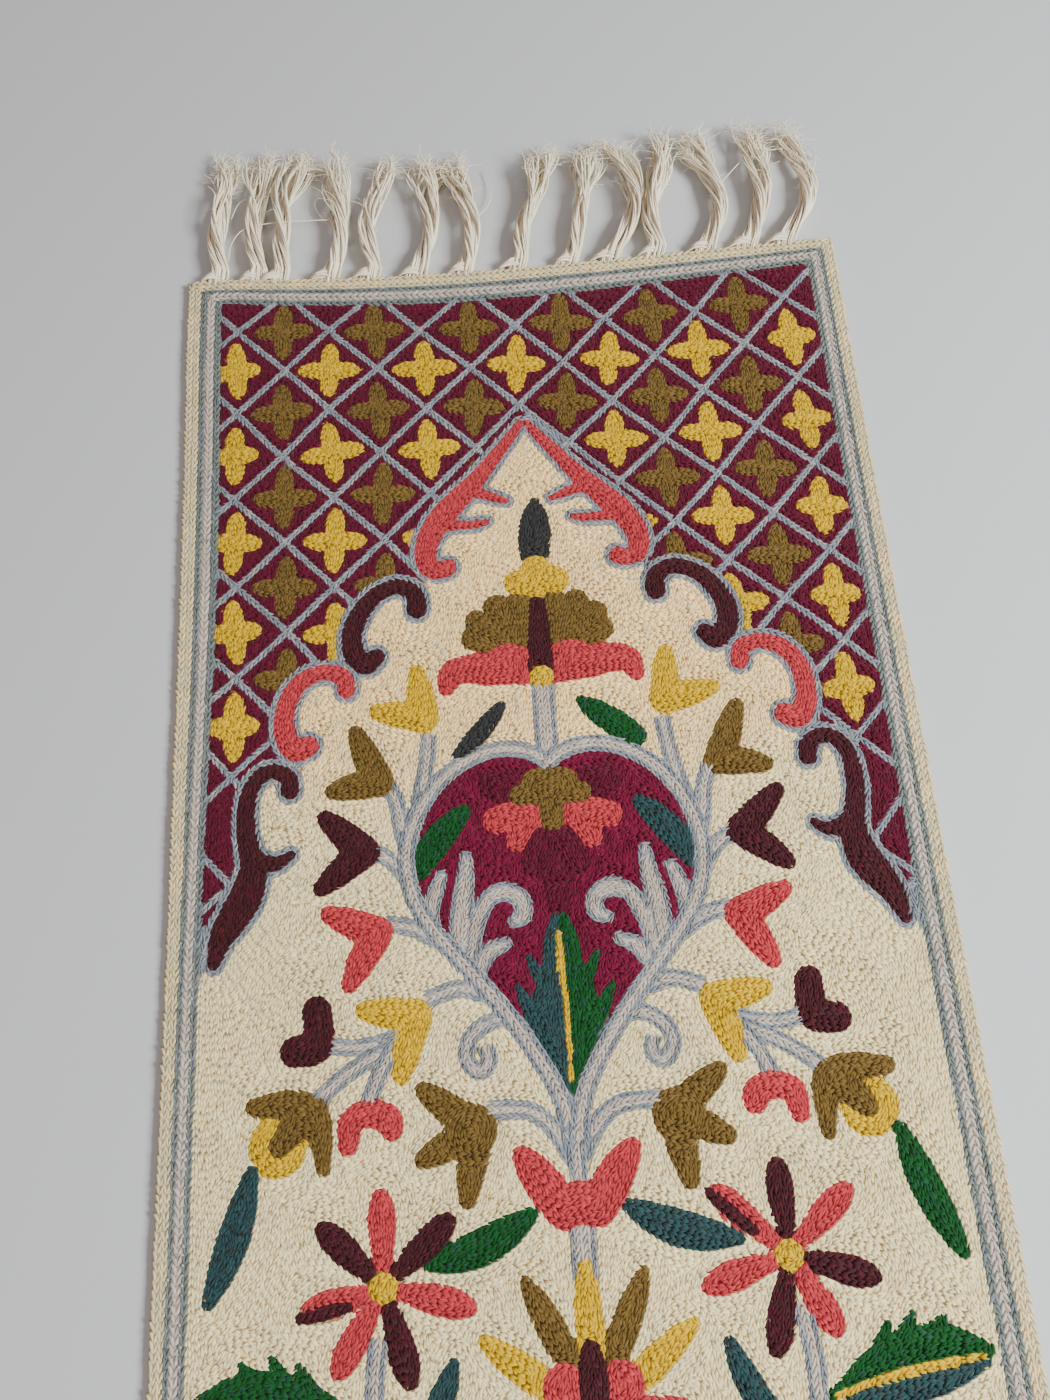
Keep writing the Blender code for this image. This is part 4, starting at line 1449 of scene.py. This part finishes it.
def fringe_lines(end, count, thread_radius, seed):
    """World points in metres, gauges and shade of every thread, where end is 1 at the arched end or else -1."""
    random = np.random.default_rng(seed)
    ease_by = 1.0 if end > 0 else LOWER_EASE
    lines = []
    for tassel in TASSELS:
        tassel = tassel._replace(lean=tassel.lean * ease_by, bulge=tassel.bulge * ease_by,
                                 length=tassel.length * (1 + ease_by) / 2)
        lines += [(tassel.root, line) for line in tassel_threads(random, tassel, count, thread_radius)]
    for stray in STRAYS:
        points = curve(stray, steps=4)
        points[:, 1] *= ease_by
        gauge = np.full((len(points), 1), STRAY_GAUGE)
        lines.append((stray[0][0], np.hstack([points, gauge])))
    placed = []
    for root, line in lines:
        edge_v = edge("top" if end > 0 else "bottom", (LEFT_CORNER + root) * end)
        x = (LEFT_CORNER + line[:, 0]) * end
        y = DESIGN_TOP - edge_v + line[:, 1] * end
        placed.append((np.column_stack([x, y, line[:, 2]]) * MM, line[:, 3], random.uniform(0, 1)))
    return placed


def thread_mesh(name, lines):
    """The threads as lines of edges."""
    points, edges, gauges, shades = [], [], [], []
    for line, gauge, shade in lines:
        first = len(points)
        points += line.tolist()
        edges += [(first + k, first + k + 1) for k in range(len(line) - 1)]
        gauges += gauge.tolist()
        shades += [shade] * len(line)
    mesh = bpy.data.meshes.new(name)
    mesh.from_pydata(points, edges, [])
    set_attribute(mesh, "gauge", "FLOAT", gauges)
    set_attribute(mesh, "shade", "FLOAT", shades)
    return mesh


def thread_tree():
    """Makes a round thread of each line of edges."""
    tree, nodes = geometry_tree("Fringe threads", (
        ("Thread Width", "Float"), ("Sides", "Int"), ("Cotton", "Material")))
    entry = nodes.node("NodeGroupInput").outputs
    line = nodes.node("GeometryNodeMeshToCurve", sockets={"Mesh": entry["Geometry"]})
    ring = nodes.node("GeometryNodeCurvePrimitiveCircle", sockets={
        "Resolution": entry["Sides"], "Radius": Term(nodes, entry["Thread Width"]) * 0.5})
    tube = nodes.node("GeometryNodeCurveToMesh", sockets={
        "Curve": line.outputs[0], "Profile Curve": ring.outputs[0], "Scale": nodes.held("gauge"),
        "Fill Caps": True})
    smooth = nodes.node("GeometryNodeSetShadeSmooth", sockets={"Geometry": tube.outputs[0]})
    nodes.clothe(smooth.outputs[0], entry["Cotton"])
    return tree


def fringe_finish(colours):
    """Soft plied cotton, each thread a little lighter or darker, with dull spots of old dirt."""
    finish = Finish(
        "cotton_fringe", roughness=0.85, sheen_weight=0.15, sheen_roughness=0.5, specular_ior_level=0.3)
    at, _ = finish.places()
    fibre = finish.noise(at, 0.6 * MM, detail=3.0, roughness=0.65)
    worn = finish.noise(at, 22 * MM).rise(0.52, 0.74)
    light = (0.90 + finish.number("shade") * 0.17) * (0.92 + fibre * 0.18)
    colour = finish.mix(worn * 0.3, rgba(colours.cotton), rgba(linear(214, 200, 172)))
    finish.set("Base Color", finish.shade(colour, light))
    finish.relief(fibre, 0.25 * MM, 0.7)
    return finish.material


# ---------------------------------------------------------------------------
# Operators
# ---------------------------------------------------------------------------

MADE = {}


class MakeStitches(bpy.types.Operator):
    """Lay the rows of chain stitch, one piece for each wool"""
    bl_idname = "rug.make_stitches"
    bl_label = "Make the stitches"

    def execute(self, context):
        sizes, colours = context.scene.rug_sizes, context.scene.rug_colours
        design = draw_design(sizes.seed)
        links = lay_links(design, sizes.row_width / MM, sizes.link_length / MM)
        MADE["design"] = design
        trees = {strand: chain_tree(name, strand) for name, strand in (
            ("Chain stitch rows", ROUND_STRAND), ("Chain stitch filling", LOW_STRAND))}
        random = np.random.default_rng(sizes.seed + 3)
        finishes = {}
        MADE["stitches"] = []
        for order, (name, yarn, part) in enumerate(stitch_pieces(links)):
            if yarn not in finishes:
                finishes[yarn] = wool_finish(yarn, colours, sizes.cloth_top, sizes.stitch_height)
            strand = ROUND_STRAND if yarn in LINE_YARNS else LOW_STRAND
            mesh = link_points(name, part, strand, sizes.cloth_top, random)
            piece = run_tree(new_object(name, mesh), trees[strand], {
                "Link Length": sizes.link_length, "Row Width": sizes.row_width,
                "Stitch Height": sizes.stitch_height, "Strand Corners": strand.corners, "Turn": strand.turn,
                "Seed": sizes.seed + order, "Wool": finishes[yarn]})
            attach(piece, "root")
            MADE["stitches"].append(piece)
        return {"FINISHED"}


class MakeFringe(bpy.types.Operator):
    """Hang the cotton tassels from both ends of the cloth"""
    bl_idname = "rug.make_fringe"
    bl_label = "Make the fringe"

    def execute(self, context):
        sizes, colours = context.scene.rug_sizes, context.scene.rug_colours
        tree, cotton = thread_tree(), fringe_finish(colours)
        MADE["fringes"] = []
        for name, end in (("fringe_top", 1), ("fringe_bottom", -1)):
            lines = fringe_lines(end, sizes.threads, sizes.thread_width / 2 / MM, sizes.seed + 10 + end)
            mesh = thread_mesh(name, lines)
            piece = run_tree(new_object(name, mesh), tree, {
                "Thread Width": sizes.thread_width, "Sides": THREAD_SIDES, "Cotton": cotton})
            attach(piece, "root")
            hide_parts(*sorted(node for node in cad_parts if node.startswith(name)))
            MADE["fringes"].append(piece)
        return {"FINISHED"}


class MakeCloth(bpy.types.Operator):
    """Lay the cotton cloth that carries the stitches"""
    bl_idname = "rug.make_cloth"
    bl_label = "Make the cloth"

    def execute(self, context):
        sizes, colours = context.scene.rug_sizes, context.scene.rug_colours
        mesh = cloth_mesh(MADE["design"], colours, sizes.cloth_top / MM)
        cloth = new_object("base_cloth", mesh)
        mesh.materials.append(ground_finish())
        mesh.materials.append(canvas_finish(colours))
        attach(cloth, "root")
        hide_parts(PANEL)
        MADE["stitches"] + MADE["fringes"]
        return {"FINISHED"}


# the camera looks down on the rug from near its middle, tipped towards the arched end
CAMERA_PLACE = (-0.0095, -0.0362, 0.4027)
CAMERA_RIGHT = (0.99779, -0.06476, -0.01475)
CAMERA_UP = (0.06622, 0.95273, 0.29651)
CAMERA_AHEAD = (0.00515, 0.29683, -0.95492)
CAMERA_LENS = 27.0
FLOOR_REACH, FLOOR_LEVEL = 4.0, -0.0003
# name, place, size, power and colour of each light
LAMPS = (
    ("key_light", (1.12, -0.30, 0.88), 0.46, 45.0, (0.93, 1.0, 1.0)),
    ("fill_light", (-0.6, -0.7, 1.2), 1.4, 5.0, (1.0, 0.88, 0.83)),
)
SKY, SKY_STRENGTH = (1.0, 0.875, 0.85), 0.375


class MakeStage(bpy.types.Operator):
    """Set the floor, the lights and the camera"""
    bl_idname = "rug.make_stage"
    bl_label = "Make the stage"

    def execute(self, context):
        colours = context.scene.rug_colours
        lens = bpy.data.cameras.new("camera")
        lens.lens = CAMERA_LENS
        lens.clip_start = 0.01
        camera = new_object("camera", lens)
        axes = Matrix((CAMERA_RIGHT, CAMERA_UP, [-part for part in CAMERA_AHEAD])).transposed()
        camera.matrix_world = Matrix.Translation(CAMERA_PLACE) @ axes.to_4x4()
        context.scene.camera = camera

        mesh = bpy.data.meshes.new("floor")
        mesh.from_pydata([(FLOOR_REACH * x, FLOOR_REACH * y, FLOOR_LEVEL)
                          for x, y in ((-1, -1), (1, -1), (1, 1), (-1, 1))], [], [(0, 1, 2, 3)])
        paint = Finish("floor_paint", roughness=0.8, base_color=rgba(colours.floor))
        mesh.materials.append(paint.material)
        new_object("floor", mesh)

        for lamp in LAMPS:
            self.lamp(*lamp)
        world = bpy.data.worlds.new("room")
        world.use_nodes = True
        sky = world.node_tree.nodes["Background"]
        sky.inputs["Color"].default_value = rgba(SKY)
        sky.inputs["Strength"].default_value = SKY_STRENGTH
        context.scene.world = world
        return {"FINISHED"}

    @staticmethod
    def lamp(name, place, size, power, colour):
        light = bpy.data.lights.new(name, "AREA")
        light.size, light.energy, light.color = size, power, colour
        lamp = new_object(name, light)
        turn = Vector(place).to_track_quat("Z", "Y")
        lamp.matrix_world = Matrix.Translation(place) @ turn.to_matrix().to_4x4()


STEPS = (MakeStage, MakeStitches, MakeFringe, MakeCloth)


class RugPanel(bpy.types.Panel):
    """Sizes, wools and steps of the rug"""
    bl_idname = "VIEW3D_PT_chain_stitch_rug"
    bl_label = "Chain stitch rug"
    bl_space_type = "VIEW_3D"
    bl_region_type = "UI"
    bl_category = "Rug"

    def draw(self, context):
        for group in (context.scene.rug_sizes, context.scene.rug_colours):
            column = self.layout.column(align=True)
            for name in group.__annotations__:
                column.prop(group, name)
        for step in STEPS:
            self.layout.operator(step.bl_idname)


CLASSES = (RugSizes, RugColours, *STEPS, RugPanel)


def register():
    for made in CLASSES:
        bpy.utils.register_class(made)
    bpy.types.Scene.rug_sizes = bpy.props.PointerProperty(type=RugSizes)
    bpy.types.Scene.rug_colours = bpy.props.PointerProperty(type=RugColours)


def unregister():
    del bpy.types.Scene.rug_colours
    del bpy.types.Scene.rug_sizes
    for made in reversed(CLASSES):
        bpy.utils.unregister_class(made)


def main():
    register()
    bpy.ops.rug.make_stage()
    bpy.ops.rug.make_stitches()
    bpy.ops.rug.make_fringe()
    bpy.ops.rug.make_cloth()


if __name__ == "__main__":
    main()
